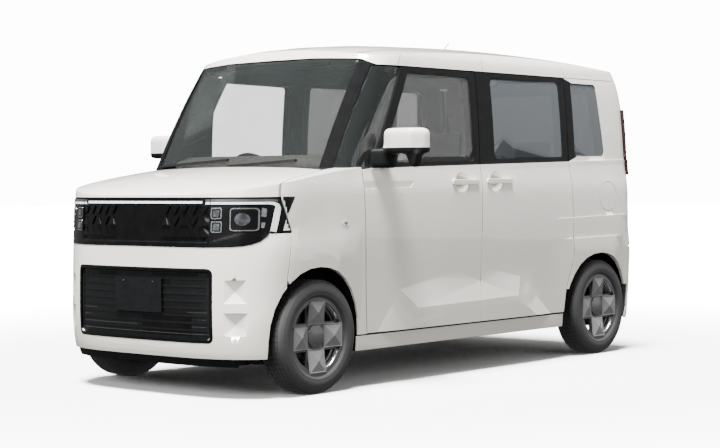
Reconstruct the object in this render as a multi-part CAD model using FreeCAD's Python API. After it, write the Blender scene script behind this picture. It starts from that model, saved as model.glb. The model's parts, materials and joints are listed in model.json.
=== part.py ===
import FreeCAD, Part
import math
import os

from FreeCAD import Vector

# Driving sizes of the car, in millimetres
FRONT_OVERHANG = 515.5
WHEELBASE = 2495.0
REAR_OVERHANG = 384.5
WIDTH = 1475.0
HEIGHT = 1785.0
TRACK = 1300.0

LENGTH = FRONT_OVERHANG + WHEELBASE + REAR_OVERHANG
FRONT_AXLE_Y = FRONT_OVERHANG - LENGTH / 2
REAR_AXLE_Y = FRONT_AXLE_Y + WHEELBASE
HALF_WIDTH = WIDTH / 2

# Tyre and rim sizes
TYRE_WIDTH = 155.0
TYRE_WALL = 100.0
RIM_RADIUS = 177.8
RIM_FLANGE = 16.0
RIM_WIDTH = 126.0
TYRE_RADIUS = RIM_RADIUS + TYRE_WALL
AXLE_Z = TYRE_RADIUS

# Walls and clearances
SKIN = 8.0
PANEL_GAP = 7.0
FIXED_GAP = 4.0
DOOR_THICKNESS = 75.0
RING_START = 15.0
HINGE_POCKET = 44.0
FLANGE_LAP = 35.0
GLASS_THICKNESS = 5.0
GLASS_INSET = 3.0
FRAME_DEPTH = 34.0
SEAM_FIT = 0.3
AXLE_FIT = 0.08


def station(share):
    """Y of a station: -1 nose, 0 front axle, 1 rear axle, 2 tail."""
    if share < 0:
        return FRONT_AXLE_Y + share * FRONT_OVERHANG
    if share > 1:
        return REAR_AXLE_Y + (share - 1) * REAR_OVERHANG
    return FRONT_AXLE_Y + share * WHEELBASE


def height(share):
    return HEIGHT * share


def across(share):
    return HALF_WIDTH * share


def side_points(shares):
    return [(station(y), height(z)) for y, z in shares]


def table(shares, share):
    """Straight-line reading of a table of (place, value) shares."""
    if share <= shares[0][0]:
        return shares[0][1]
    for (a, va), (b, vb) in zip(shares, shares[1:]):
        if share <= b:
            return va + (vb - va) * (share - a) / (b - a)
    return shares[-1][1]


# Outline of the lower body: height, half width, nose station, corner power
LOWER_SHARES = (
    (0.0756, 0.9410, -0.9117, 3.6),
    (0.0924, 0.9480, -0.9428, 3.6),
    (0.1120, 0.9540, -0.9661, 3.6),
    (0.1485, 0.9600, -0.9855, 3.6),
    (0.1961, 0.9640, -0.9952, 3.6),
    (0.2521, 0.9690, -1.0000, 3.5),
    (0.3081, 0.9750, -1.0000, 3.4),
    (0.3641, 0.9820, -0.9990, 3.3),
    (0.4146, 0.9870, -0.9952, 3.2),
    (0.4650, 0.9905, -0.9893, 3.1),
    (0.5042, 0.9912, -0.9816, 3.1),
    (0.5429, 0.9905, -0.9661, 3.1),
    (0.5770, 0.9840, -0.9428, 3.1),
    (0.6106, 0.9735, -0.9195, 3.1),
    (0.6443, 0.9690, -0.8962, 3.1),
    (0.6667, 0.9660, -0.8807, 3.1),
)
LOWER_TURN_SHARE = -0.0834
LOWER_REAR_SHARES = (
    (0.0756, 1.8765), (0.1120, 1.9545), (0.1681, 1.9857), (0.2521, 2.0000),
    (0.3361, 2.0000), (0.3697, 1.9753), (0.4146, 1.9285), (0.5042, 1.9051), (0.6667, 1.8895),
)
LOWER_REAR_RADIUS = 48.0
REAR_CROWN = 14.0

# Outline of the upper body: height, half width, windscreen station, rear station
UPPER_SHARES = (
    (0.5770, 0.9700, 0.0337, 1.8895),
    (0.5994, 0.9680, 0.0417, 1.8869),
    (0.6218, 0.9655, 0.0505, 1.8843),
    (0.6723, 0.9600, 0.0697, 1.8817),
    (0.7283, 0.9530, 0.0914, 1.8791),
    (0.7843, 0.9430, 0.1142, 1.8739),
    (0.8403, 0.9310, 0.1379, 1.8531),
    (0.8852, 0.9180, 0.1579, 1.8088),
    (0.9188, 0.9035, 0.1723, 1.7568),
    (0.9412, 0.8881, 0.1824, 1.7074),
    (0.9608, 0.8569, 0.1916, 1.6788),
    (0.9776, 0.8108, 0.1996, 1.6502),
    (0.9944, 0.7458, 0.2076, 1.6190),
    (1.0140, 0.6644, 0.2172, 1.5852),
)
UPPER_CORNER_DEPTH = 345.0
UPPER_CORNER_POWER = 4.0
UPPER_REAR_RADIUS = 46.0

# Bonnet: centre line heights and fall towards the sides
BONNET_SHARES = (
    (-1.0824, 0.5255), (-0.9990, 0.5384), (-0.9661, 0.5429), (-0.8885, 0.5535),
    (-0.7333, 0.5692), (-0.5199, 0.5860), (-0.2677, 0.6006), (-0.0155, 0.6118),
    (0.0505, 0.6218), (0.1130, 0.6308), (0.1932, 0.6398),
)
BONNET_FALL_SHARES = (
    (0.0, 0.0), (0.3390, 0.0017), (0.6102, 0.0050), (0.8136, 0.0101), (0.9492, 0.0162), (1.0305, 0.0224),
)

# Roof: centre line heights and fall towards the sides
ROOF_SHARES = (
    (0.1130, 0.9367), (0.1784, 0.9591), (0.2261, 0.9731), (0.2934, 0.9838), (0.3647, 0.9899),
    (0.4737, 0.9961), (0.5940, 0.9994), (0.7142, 1.0000), (0.8345, 0.9978), (0.9547, 0.9922),
    (1.3563, 0.9843), (1.8505, 0.9765),
)
ROOF_FALL_SHARES = (
    (0.0, 0.0), (0.2712, 0.0028), (0.5424, 0.0123), (0.7458, 0.0258), (0.8678, 0.0370), (1.0305, 0.0549),
)

# Belt line, where the lower body meets the upper body
BELT_FRONT_SHARE = 0.6006
BELT_REAR_SHARE = 0.6457


def belt(y):
    front = height(BELT_FRONT_SHARE)
    rear = height(BELT_REAR_SHARE)
    return front + (rear - front) * (y + LENGTH / 2) / LENGTH


PLAN_FRONT_STEPS = 13
PLAN_SIDE_STEPS = 10
PLAN_CORNER_STEPS = 5
PLAN_REAR_STEPS = 4


def half_plan(half, y_front, y_turn, power, y_rear, radius, crown, z):
    """Points of one level of the skin, from the nose round the side to the tail."""
    points = []
    depth = y_turn - y_front
    for i in range(PLAN_FRONT_STEPS):
        angle = math.pi / 2 * i / (PLAN_FRONT_STEPS - 1)
        s = math.sin(angle)
        c = math.cos(angle)
        reach = (s ** power + c ** power) ** (-1 / power)
        points.append(Vector(half * reach * s, y_turn - depth * reach * c, z))
    y_side = y_rear - radius - crown
    for i in range(1, PLAN_SIDE_STEPS + 1):
        points.append(Vector(half, y_turn + (y_side - y_turn) * i / PLAN_SIDE_STEPS, z))
    for i in range(1, PLAN_CORNER_STEPS + 1):
        angle = math.pi / 2 * i / PLAN_CORNER_STEPS
        x = half - radius + radius * math.cos(angle)
        points.append(Vector(x, y_side + radius * math.sin(angle), z))
    inner = half - radius
    for i in range(1, PLAN_REAR_STEPS + 1):
        x = inner * (1 - i / PLAN_REAR_STEPS)
        points.append(Vector(x, y_side + radius + crown * (1 - (x / inner) ** 2), z))
    return points


def blend_rows(a, b, t):
    return [p + (q - p) * t for p, q in zip(a, b)]


def skin_surface(rows):
    """Surface through the rows, carried a little past the middle plane and both ends."""
    wide = []
    for row in rows:
        head = [Vector(-p.x, p.y, p.z) for p in row[2:0:-1]]
        tail = [Vector(-p.x, p.y, p.z) for p in row[-2:-4:-1]]
        wide.append(head + row + tail)
    surface = Part.BSplineSurface()
    surface.interpolate(wide)
    return surface.toShape()


def half_solid(rows, z_low, z_high, probe):
    """The half body inside the skin, between two levels."""
    reach = LENGTH * 0.6
    box = Part.makeBox(WIDTH, 2 * reach, z_high - z_low, Vector(0, -reach, z_low))
    pieces, _ = box.generalFuse([skin_surface(rows)])
    inside = [s for s in pieces.Solids if s.isInside(probe, SEAM_FIT, True)]
    return inside[0]


# Half widths of the flared outline, level by level, and how far its nose stays back
FLARE_SHARES = (0.9600, 0.9670, 0.9730, 0.9785, 0.9840, 0.9885, 0.9935, 0.9985, 0.9970, 0.9885,
                0.9870, 0.9860, 0.9790, 0.9690, 0.9640, 0.9610)
FLARE_NOSE_BACK = 12.0


def flared_half():
    """The lower body with its sides swollen below the shoulder."""
    rows = []
    for (z, _, nose, power), half in zip(LOWER_SHARES, FLARE_SHARES):
        rear = station(table(LOWER_REAR_SHARES, z)) - FLARE_NOSE_BACK
        rows.append(half_plan(across(half), station(nose) + FLARE_NOSE_BACK, station(LOWER_TURN_SHARE), power,
                              rear, LOWER_REAR_RADIUS, REAR_CROWN, height(z)))
    return half_solid(rows, height(LOWER_SHARES[0][0]) + SKIN, height(0.5602),
                      Vector(across(0.1), 0, height(0.4)))


def lower_half(offset):
    rows = []
    for z, half, nose, power in LOWER_SHARES:
        rear = station(table(LOWER_REAR_SHARES, z)) - offset
        rows.append(half_plan(across(half) - offset, station(nose) + offset, station(LOWER_TURN_SHARE), power,
                              rear, LOWER_REAR_RADIUS, REAR_CROWN, height(z)))
    z_low = height(LOWER_SHARES[0][0]) + SKIN
    z_high = height(LOWER_SHARES[-1][0]) - SKIN
    solid = half_solid(rows, z_low, z_high, Vector(across(0.1), 0, height(0.4)))
    return solid.cut(above_surface(BONNET_SHARES, BONNET_FALL_SHARES, -offset, station(BONNET_SHARES[0][0]),
                                   station(COWL_END_SHARE)))


def upper_half(offset):
    rows = []
    for z, half, screen, rear in UPPER_SHARES:
        y_front = station(screen) + offset
        rows.append(half_plan(across(half) - offset, y_front, y_front + UPPER_CORNER_DEPTH,
                              UPPER_CORNER_POWER,
                              station(rear) - offset, UPPER_REAR_RADIUS, REAR_CROWN, height(z)))
    z_low = height(UPPER_SHARES[0][0]) + SKIN
    z_high = height(UPPER_SHARES[-1][0]) - SKIN
    solid = half_solid(rows, z_low, z_high, Vector(across(0.1), 0, height(0.7)))
    return solid.cut(above_surface(ROOF_SHARES, ROOF_FALL_SHARES, -offset, station(ROOF_SHARES[0][0]),
                                   LENGTH * 0.6))


SURFACE_STEPS = 12


def above_surface(profile_shares, fall_shares, lift, y_from, y_to):
    """Solid over a crowned surface, to trim the top of a body."""
    reach = HALF_WIDTH * 1.1
    rows = []
    for i in range(SURFACE_STEPS + 1):
        y = y_from + (y_to - y_from) * i / SURFACE_STEPS
        row = []
        for j in range(-2, SURFACE_STEPS + 1):
            x = reach * j / SURFACE_STEPS
            fall = height(table(fall_shares, abs(x) / HALF_WIDTH))
            row.append(Vector(x, y, height(profile_at(profile_shares, y)) - fall + lift))
        rows.append(row)
    surface = Part.BSplineSurface()
    surface.interpolate(rows)
    face = surface.toShape()
    lid = face.extrude(Vector(0, 0, HEIGHT))
    return lid


def profile_at(profile_shares, y):
    """Height share of a centre line at a given Y, read as a smooth curve."""
    places = [station(s) for s, _ in profile_shares]
    values = [v for _, v in profile_shares]
    if y <= places[0]:
        return values[0] + (values[1] - values[0]) * (y - places[0]) / (places[1] - places[0])
    for i in range(len(places) - 1):
        if y <= places[i + 1]:
            t = (y - places[i]) / (places[i + 1] - places[i])
            slope_a = slope(places, values, i)
            slope_b = slope(places, values, i + 1)
            span = places[i + 1] - places[i]
            return ((1 + 2 * t) * (1 - t) ** 2 * values[i] + t * (1 - t) ** 2 * span * slope_a
                    + t * t * (3 - 2 * t) * values[i + 1] + t * t * (t - 1) * span * slope_b)
    return values[-1]


def slope(places, values, i):
    a = max(i - 1, 0)
    b = min(i + 1, len(places) - 1)
    return (values[b] - values[a]) / (places[b] - places[a])


COWL_END_SHARE = 0.1327

# Solids bounded by flat outlines
WIDE = WIDTH


def prism(points, normal, near, far):
    """Flat outline pushed along one axis: points are the two other coordinates in order."""
    def place(a, b):
        if normal == "x":
            return Vector(near, a, b)
        if normal == "y":
            return Vector(a, near, b)
        return Vector(a, b, near)
    corners = [place(a, b) for a, b in points]
    face = Part.Face(Part.makePolygon(corners + corners[:1]))
    push = {"x": Vector(far - near, 0, 0), "y": Vector(0, far - near, 0), "z": Vector(0, 0, far - near)}
    return face.extrude(push[normal])


def block(x0, x1, y0, y1, z0, z1):
    return Part.makeBox(x1 - x0, y1 - y0, z1 - z0, Vector(x0, y0, z0))


def inset(points, distance):
    """Outline moved inwards by one distance (outwards when negative)."""
    area = sum(a[0] * b[1] - b[0] * a[1] for a, b in zip(points, points[1:] + points[:1]))
    side = 1 if area > 0 else -1
    count = len(points)
    moved = []
    for i in range(count):
        ax, ay = points[i - 1]
        bx, by = points[i]
        cx, cy = points[(i + 1) % count]
        ux, uy = unit(bx - ax, by - ay)
        vx, vy = unit(cx - bx, cy - by)
        nx, ny = -uy * side, ux * side
        mx, my = -vy * side, vx * side
        scale = distance / max(1 + nx * mx + ny * my, 0.2)
        moved.append((bx + (nx + mx) * scale, by + (ny + my) * scale))
    return moved


def unit(x, y):
    size = math.hypot(x, y)
    return x / size, y / size


def soft_prism(points, radius, normal, near, far):
    """Outline with rounded corners, pushed along one axis."""
    solid = prism(points, normal, near, far)
    axis = {"x": Vector(1, 0, 0), "y": Vector(0, 1, 0), "z": Vector(0, 0, 1)}[normal]
    edges = [e for e in solid.Edges
             if (e.Vertexes[1].Point - e.Vertexes[0].Point).normalize().cross(axis).Length < 0.001]
    return solid.makeFillet(radius, edges)


def mirrored(shape):
    return shape.mirror(Vector(0, 0, 0), Vector(1, 0, 0))


def both_sides(shape):
    return Part.makeCompound([shape, mirrored(shape)])


def whole(shape):
    """One solid from a half that meets the middle plane."""
    return shape.fuse(mirrored(shape)).removeSplitter()


LOWER_BODY = {}
UPPER_BODY = {}


def lower(offset):
    if offset not in LOWER_BODY:
        LOWER_BODY[offset] = lower_half(offset)
    return LOWER_BODY[offset]


def upper(offset):
    if offset not in UPPER_BODY:
        UPPER_BODY[offset] = upper_half(offset)
    return UPPER_BODY[offset]


REACH = LENGTH


def under_belt(lift):
    points = [(-REACH, belt(-REACH) + lift), (REACH, belt(REACH) + lift), (REACH, -REACH), (-REACH, -REACH)]
    return prism(points, "x", -WIDE, WIDE)


def over_belt(lift):
    points = [(-REACH, belt(-REACH) + lift), (REACH, belt(REACH) + lift), (REACH, REACH), (-REACH, REACH)]
    return prism(points, "x", -WIDE, WIDE)


BELT_LAP = 10.0


def slab(low, high, turn):
    """Everything inboard of the plane through three points, each (station, height, half width)."""
    a, b, c = (Vector(across(x), station(y), height(z)) for y, z, x in (low, high, turn))
    normal = (b - a).cross(c - a)
    corners = []
    for y, z in ((-LENGTH, -HEIGHT), (LENGTH, -HEIGHT), (LENGTH, 2 * HEIGHT), (-LENGTH, 2 * HEIGHT)):
        x = a.x - (normal.y * (y - a.y) + normal.z * (z - a.z)) / normal.x
        corners.append(Vector(x, y, z))
    face = Part.Face(Part.makePolygon(corners + corners[:1]))
    return face.extrude(Vector(-4 * LENGTH, 0, 0))


def pyramid(corners, apex):
    """Solid on four corners in order, with one apex."""
    faces = [Part.Face(Part.makePolygon(corners + corners[:1]))]
    for i in range(len(corners)):
        faces.append(Part.Face(Part.makePolygon([corners[i], corners[(i + 1) % len(corners)], apex,
                                                 corners[i]])))
    solid = Part.makeSolid(Part.makeShell(faces))
    if solid.Volume < 0:
        solid.reverse()
    return solid


def lower_piece(cutter, start, end):
    return lower(start).common(cutter).common(under_belt(0)).cut(lower(end))


def upper_piece(cutter, start, end):
    return upper(start).common(cutter).common(over_belt(-BELT_LAP)).cut(upper(end))


def body_piece(cutter, start, end):
    """Piece of the body wall that runs through the belt line."""
    return lower_piece(cutter, start, end).fuse(upper_piece(cutter, start, end))


def main_solid(shape):
    return max(shape.Solids, key=lambda s: s.Volume)


# Shut lines on the side, as (station, height)
FRONT_DOOR_SHARES = (
    (0.1503, 0.1485), (0.1431, 0.3137), (0.1359, 0.5266), (0.1327, 0.6106), (0.1659, 0.6140),
    (0.2790, 0.9087), (0.5339, 0.9087), (0.5303, 0.6303), (0.5275, 0.1485),
)
SLIDING_DOOR_SHARES = (
    (0.5275, 0.1485), (0.5303, 0.6303), (0.5339, 0.9087), (0.8766, 0.9087), (0.8749, 0.6364),
    (0.8842, 0.4667), (0.8834, 0.3221), (0.8593, 0.2252), (0.8525, 0.1485),
)
FRONT_DOOR_GLASS_SHARES = (
    (0.1956, 0.6286), (0.2998, 0.8908), (0.5094, 0.8874), (0.5094, 0.6353),
)
SLIDING_DOOR_GLASS_SHARES = (
    (0.5852, 0.6443), (0.5852, 0.8919), (0.8509, 0.8919), (0.8509, 0.6510),
)
QUARTER_GLASS_SHARES = (
    (0.9022, 0.6532), (0.9022, 0.8930), (1.0598, 0.8930), (1.1951, 0.6555),
)
FRONT_QUARTER_SHARES = (
    (0.0729, 0.6151), (0.1852, 0.9053), (0.2766, 0.9053), (0.1635, 0.6151),
)
GLASS_CORNER = 26.0

ARCH_BASE_Z = 277.0
ARCH_FRONT_REACH = 318.0
ARCH_FRONT_TRAIL = 306.0
ARCH_FRONT_RISE = 340.0
ARCH_REAR_REACH = 350.0
ARCH_REAR_TRAIL = 296.0
ARCH_REAR_RISE = 323.0
ARCH_POWER = 2.15
ARCH_STEPS = 14
LINER_START = 2.0
LINER_WALL = 4.0
FRONT_LINER_X = 422.0
REAR_LINER_X = 546.0


def arch_points(axle_y, reach, trail, rise, growth):
    points = []
    for i in range(ARCH_STEPS + 1):
        angle = math.pi * i / ARCH_STEPS
        c = math.cos(angle)
        s = math.sin(angle)
        size = (abs(c) ** ARCH_POWER + s ** ARCH_POWER) ** (-1 / ARCH_POWER)
        span = (trail if c > 0 else reach) + growth
        points.append((axle_y + span * size * c, ARCH_BASE_Z + (rise + growth) * size * s))
    points.append((axle_y - reach - growth, -AXLE_Z))
    points.append((axle_y + trail + growth, -AXLE_Z))
    return points


def front_arch(growth, x0, x1):
    return prism(arch_points(FRONT_AXLE_Y, ARCH_FRONT_REACH, ARCH_FRONT_TRAIL, ARCH_FRONT_RISE, growth), "x",
                 x0, x1)


def rear_arch(growth, x0, x1):
    return prism(arch_points(REAR_AXLE_Y, ARCH_REAR_REACH, ARCH_REAR_TRAIL, ARCH_REAR_RISE, growth), "x", x0,
                 x1)


def side_prism(shares, shrink):
    return prism(inset(side_points(shares), shrink), "x", across(0.55), WIDE)


def save(name, shape):
    solids = shape.Solids
    for solid in solids:
        if not solid.isValid():
            raise ValueError("not a valid solid: " + name)
    result = solids[0] if len(solids) == 1 else Part.makeCompound(solids)
    result.exportStep(os.path.join("parts", name + ".step"))


os.makedirs("parts", exist_ok=True)

# Front doors: skin flange over the pillars, thick inner box, frame round the window
HALF_GAP = PANEL_GAP / 2
door_skin = lower_piece(side_prism(FRONT_DOOR_SHARES, HALF_GAP), 0, SKIN)
door_box = lower_piece(side_prism(FRONT_DOOR_SHARES, HALF_GAP + FLANGE_LAP), SKIN, DOOR_THICKNESS)
door_frame = upper_piece(side_prism(FRONT_DOOR_SHARES, HALF_GAP), 0, FRAME_DEPTH)
door_window = soft_prism(side_points(FRONT_DOOR_GLASS_SHARES), GLASS_CORNER, "x", across(0.5), WIDE)
door_frame = door_frame.cut(door_window)
front_door = main_solid(door_skin.fuse([door_box, door_frame]))
# Swelling low on both doors, and the ramps that lead on to the flares
flared = flared_half()
swelling = flared.common(slab((0.2509, 0.2678, 0.9699), (0.6758, 0.2779, 0.9711), (0.3062, 0.2101, 0.9849)))
swelling = swelling.common(slab((0.1768, 0.1490, 0.9592), (0.2509, 0.2678, 0.9699), (0.3062, 0.2101, 0.9849)))
swelling = swelling.common(slab((0.6758, 0.2779, 0.9711), (0.7735, 0.1793, 0.9626), (0.6713, 0.2123, 0.9852)))
swelling = main_solid(swelling.cut(lower(SKIN / 2)))
# Pull handles over a round cup in each door
HANDLE_LENGTH = 230.0
HANDLE_HEIGHT = 28.0
HANDLE_ROOT = 2.0
HANDLE_PROUD = 11.0
HANDLE_ROUND = 9.0
CUP_RADIUS = 79.0
CUP_DEPTH = 30.0
CUP_BACK = 24.0


def with_handle(door, y, z, x):
    cup = Part.makeSphere(CUP_RADIUS, Vector(x + CUP_RADIUS - CUP_DEPTH, y - CUP_BACK, z))
    bar = block(x - HANDLE_ROOT, x + HANDLE_PROUD, y - HANDLE_LENGTH / 2, y + HANDLE_LENGTH / 2,
                z - HANDLE_HEIGHT / 2,
                z + HANDLE_HEIGHT / 2)
    bar = bar.makeFillet(HANDLE_ROUND, [e for e in bar.Edges if e.BoundBox.XLength > HANDLE_PROUD])
    bar = bar.makeFillet(HANDLE_ROOT,
                         [e for e in bar.Edges if e.BoundBox.XMin > x + HANDLE_PROUD - HANDLE_ROOT / 4])
    return main_solid(main_solid(door.cut(cup)).fuse(bar))


# Facets under the belt
BELT_FACET_SHARE = 0.9839
belt_facets = [
    prism([(station(y), height(z)) for y, z in ((0.1331, 0.5854), (0.3154, 0.5966), (0.2822, 0.5574),
                                                (0.1363, 0.5529))],
          "x", across(BELT_FACET_SHARE), WIDE),
]
front_door = front_door.fuse(swelling.common(side_prism(FRONT_DOOR_SHARES, HALF_GAP)))
front_door = main_solid(front_door).cut(belt_facets)
front_door = with_handle(main_solid(front_door), station(0.4697), height(0.5725), across(0.9844))
door_glass_cut = soft_prism(inset(side_points(FRONT_DOOR_GLASS_SHARES), SEAM_FIT), GLASS_CORNER, "x",
                            across(0.5), WIDE)
door_glass = main_solid(upper(GLASS_INSET).common(door_glass_cut).cut(upper(GLASS_INSET + GLASS_THICKNESS)))

SIDE_SHARE = 0.9912
DOOR_SIDE_SHARE = 0.9870

# Hinges of the front doors: a pin held by the body, a barrel on the door
DOOR_PIN_RADIUS = 4.0
DOOR_PIN_FIT = 0.08
DOOR_PIN_INBOARD = 12.0
DOOR_PIN_BACK = 28.0
DOOR_PIN_REACH = 32.0
DOOR_PIN_SHARES = (0.4146, 0.5210)
BARREL_RADIUS = 7.0
LEAF_THICKNESS = 8.0
door_axis_x = across(DOOR_SIDE_SHARE) - DOOR_PIN_INBOARD
door_axis_y = station(0.1359) + DOOR_PIN_BACK


def pin_z(z, radius, low, high):
    return Part.makeCylinder(radius, high - low, Vector(door_axis_x, door_axis_y, z + low), Vector(0, 0, 1))


door_barrels = []
frame_pins = []
for share in DOOR_PIN_SHARES:
    z = height(share)
    strap = block(door_axis_x - BARREL_RADIUS, door_axis_x + BARREL_RADIUS / 2, door_axis_y,
                  door_axis_y + FLANGE_LAP, z - LEAF_THICKNESS, z + DOOR_PIN_REACH)
    door_barrels.append(pin_z(z, BARREL_RADIUS, -LEAF_THICKNESS, DOOR_PIN_REACH).fuse(strap).cut(
        pin_z(z, DOOR_PIN_RADIUS + DOOR_PIN_FIT, -DOOR_PIN_REACH, DOOR_PIN_REACH * 2)))
    leaf = block(door_axis_x - HINGE_POCKET, door_axis_x, door_axis_y - DOOR_PIN_FIT,
                 door_axis_y + LEAF_THICKNESS / 2,
                 z - DOOR_PIN_REACH, z - LEAF_THICKNESS - DOOR_PIN_FIT)
    frame_pins.append(pin_z(z, DOOR_PIN_RADIUS, -DOOR_PIN_REACH, DOOR_PIN_REACH).fuse(leaf))
pin_space = [pin_z(height(share), DOOR_PIN_RADIUS + DOOR_PIN_FIT, -DOOR_PIN_REACH,
                   DOOR_PIN_REACH * 2) for share in DOOR_PIN_SHARES]
front_door = main_solid(front_door.fuse(door_barrels).cut(pin_space))

save("front_door_left", front_door)
save("front_door_right", mirrored(front_door))
save("front_door_glass_left", door_glass)
save("front_door_glass_right", mirrored(door_glass))

# Door mirrors on short arms at the front corner of the doors
MIRROR_WIDTH = 225.0
MIRROR_HEIGHT = 128.0
MIRROR_DEPTH = 118.0
MIRROR_ROUND = 26.0
MIRROR_LOW_SHARE = 0.6532
MIRROR_FACE_SHARE = 0.2172
mirror_x = across(1.0332)
mirror_y = station(MIRROR_FACE_SHARE)
mirror_z = height(MIRROR_LOW_SHARE)
mirror_plan = [(mirror_x, mirror_y), (mirror_x + MIRROR_WIDTH, mirror_y + MIRROR_DEPTH * 0.05),
               (mirror_x + MIRROR_WIDTH, mirror_y - MIRROR_DEPTH * 0.35),
               (mirror_x + MIRROR_WIDTH * 0.8, mirror_y - MIRROR_DEPTH * 0.9),
               (mirror_x + MIRROR_WIDTH * 0.3, mirror_y - MIRROR_DEPTH),
               (mirror_x, mirror_y - MIRROR_DEPTH * 0.85)]
mirror_head = prism(mirror_plan, "z", mirror_z, mirror_z + MIRROR_HEIGHT)
mirror_head = mirror_head.makeFillet(MIRROR_ROUND,
                                     [e for e in mirror_head.Edges if e.BoundBox.ZMin > mirror_z + SKIN])
foot_z = belt(station(0.1531)) + 2 * SEAM_FIT
arm_plan = [(0.9776, 0.1531), (0.9776, 0.1884), (0.9519, 0.1924), (0.9519, 0.2132), (1.0712, 0.2132),
            (1.0929, 0.1932),
            (1.0576, 0.1723)]
mirror_arm = prism([(across(x), station(y)) for x, y in arm_plan], "z", foot_z, mirror_z + MIRROR_ROUND)
door_mirror = main_solid(mirror_head.fuse(mirror_arm).cut(front_door).cut(door_glass))
# Small second mirror under the left one
SUPPORT_DROP = 70.0
support_outline = [(mirror_x + MIRROR_WIDTH * 0.55, mirror_z + SKIN),
                   (mirror_x + MIRROR_WIDTH * 0.95, mirror_z + SKIN),
                   (mirror_x + MIRROR_WIDTH * 0.86, mirror_z - SUPPORT_DROP),
                   (mirror_x + MIRROR_WIDTH * 0.72, mirror_z - SUPPORT_DROP)]
support_mirror = prism(support_outline, "y", station(0.1812), station(0.2044))
save("door_mirror_left", main_solid(door_mirror.fuse(support_mirror)))
save("door_mirror_right", mirrored(door_mirror))

# Body side frame: sill, hinge pillar, centre pillar and roof rail behind the doors
RING_LAP = 28.0
RAIL_START = 40.0
ring_lower_outline = [(station(0.1110), height(0.1020)), (station(0.1110), height(0.6723)),
                      (station(1.7464), height(0.6723)), (station(1.7464), height(0.1020))]
ring_upper_outline = [(station(0.0248), height(0.5826)), (station(0.1972), height(0.9468)),
                      (station(1.4083), height(0.9468)), (station(1.6424), height(0.5826))]
ring_lower = lower_piece(prism(ring_lower_outline, "x", across(0.5), WIDE), RING_START, DOOR_THICKNESS)
pocket = block(across(0.5), WIDE, station(0.1106), station(0.1651), height(0.1468), height(0.6723))
belt_strip = lower(RING_START).common(under_belt(0)).cut(under_belt(-2 * BELT_LAP)).cut(lower(RAIL_START))
ring_lower = ring_lower.cut(pocket).cut(belt_strip)
DOOR_CORNER_SWEEP = 55.0
hinge_pillar = lower_piece(block(across(0.5), WIDE, station(0.1110), station(0.1651), height(0.1289),
                                 height(0.6723)),
                           HINGE_POCKET, DOOR_THICKNESS)
ring_upper = upper_piece(prism(ring_upper_outline, "x", across(0.5), WIDE), RAIL_START, DOOR_THICKNESS)
roof_rail = upper(SKIN).common(block(across(0.5), WIDE, station(0.1972), station(1.4343), height(0.9132),
                                     height(0.9457))).cut(upper(DOOR_THICKNESS))
frame = ring_lower.fuse([hinge_pillar, ring_upper, roof_rail])
for shares in (FRONT_DOOR_SHARES, SLIDING_DOOR_SHARES):
    frame = frame.cut(side_prism(shares, HALF_GAP + RING_LAP))
frame = frame.cut(prism(inset(side_points(QUARTER_GLASS_SHARES), -SKIN), "x", across(0.5), WIDE))
frame = frame.cut(prism(inset(side_points(FRONT_QUARTER_SHARES), -SKIN), "x", across(0.5), WIDE))
frame = frame.cut(rear_arch(SKIN, 0, WIDE)).cut(front_arch(SKIN, 0, WIDE))
corner_sweep = Part.makeCylinder(DOOR_CORNER_SWEEP, BELT_LAP * 4,
                                 Vector(door_axis_x, door_axis_y, belt(door_axis_y) - 2 * BELT_LAP),
                                 Vector(0, 0, 1))
frame = frame.cut(corner_sweep)
LID_RADIUS = 86.0
LID_BOWL_WALL = 4.0
lid_y = station(1.2081)
lid_z = height(0.5221)


def disc_x(y, z, radius, x0, x1):
    return Part.makeCylinder(radius, x1 - x0, Vector(x0, y, z), Vector(1, 0, 0))


frame = frame.cut(disc_x(lid_y, lid_z, LID_RADIUS + FIXED_GAP + 2 * LID_BOWL_WALL, across(0.5), WIDE))
frame = frame.cut(block(0, across(0.8122), station(1.4343), LENGTH, 0, HEIGHT))
PILLAR_FRONT_SHARES = ((0.7864, 0.5994), (0.7675, 0.9322))
PILLAR_REAR_SHARES = ((0.8678, 0.5994), (0.8475, 0.9322))
pillar_outline = [(across(PILLAR_FRONT_SHARES[0][0]), height(0.5938)),
                  (across(PILLAR_REAR_SHARES[0][0]), height(0.5938)),
                  (across(PILLAR_REAR_SHARES[1][0]), height(0.9188)),
                  (across(PILLAR_FRONT_SHARES[1][0]), height(0.9188))]
front_pillar = upper(0).common(prism(pillar_outline, "y", -LENGTH,
                                     station(0.2493))).cut(upper(DOOR_THICKNESS))
body_frame = main_solid(main_solid(frame.cut(front_pillar)).fuse(frame_pins))

# Sill covers under the doors
sill_outline = [(station(0.1178), height(0.1468)), (station(0.8521), height(0.1468)),
                (station(0.8521), height(0.1020)), (station(0.1178), height(0.1020))]
sill_cover = lower(0).common(prism(inset(sill_outline, HALF_GAP), "x", across(0.5),
                                   WIDE)).cut(lower(RING_START))
sill_cover = sill_cover.cut(rear_arch(0, 0, WIDE)).cut(front_arch(0, 0, WIDE))
save("sill_covers", both_sides(main_solid(sill_cover)))

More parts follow.
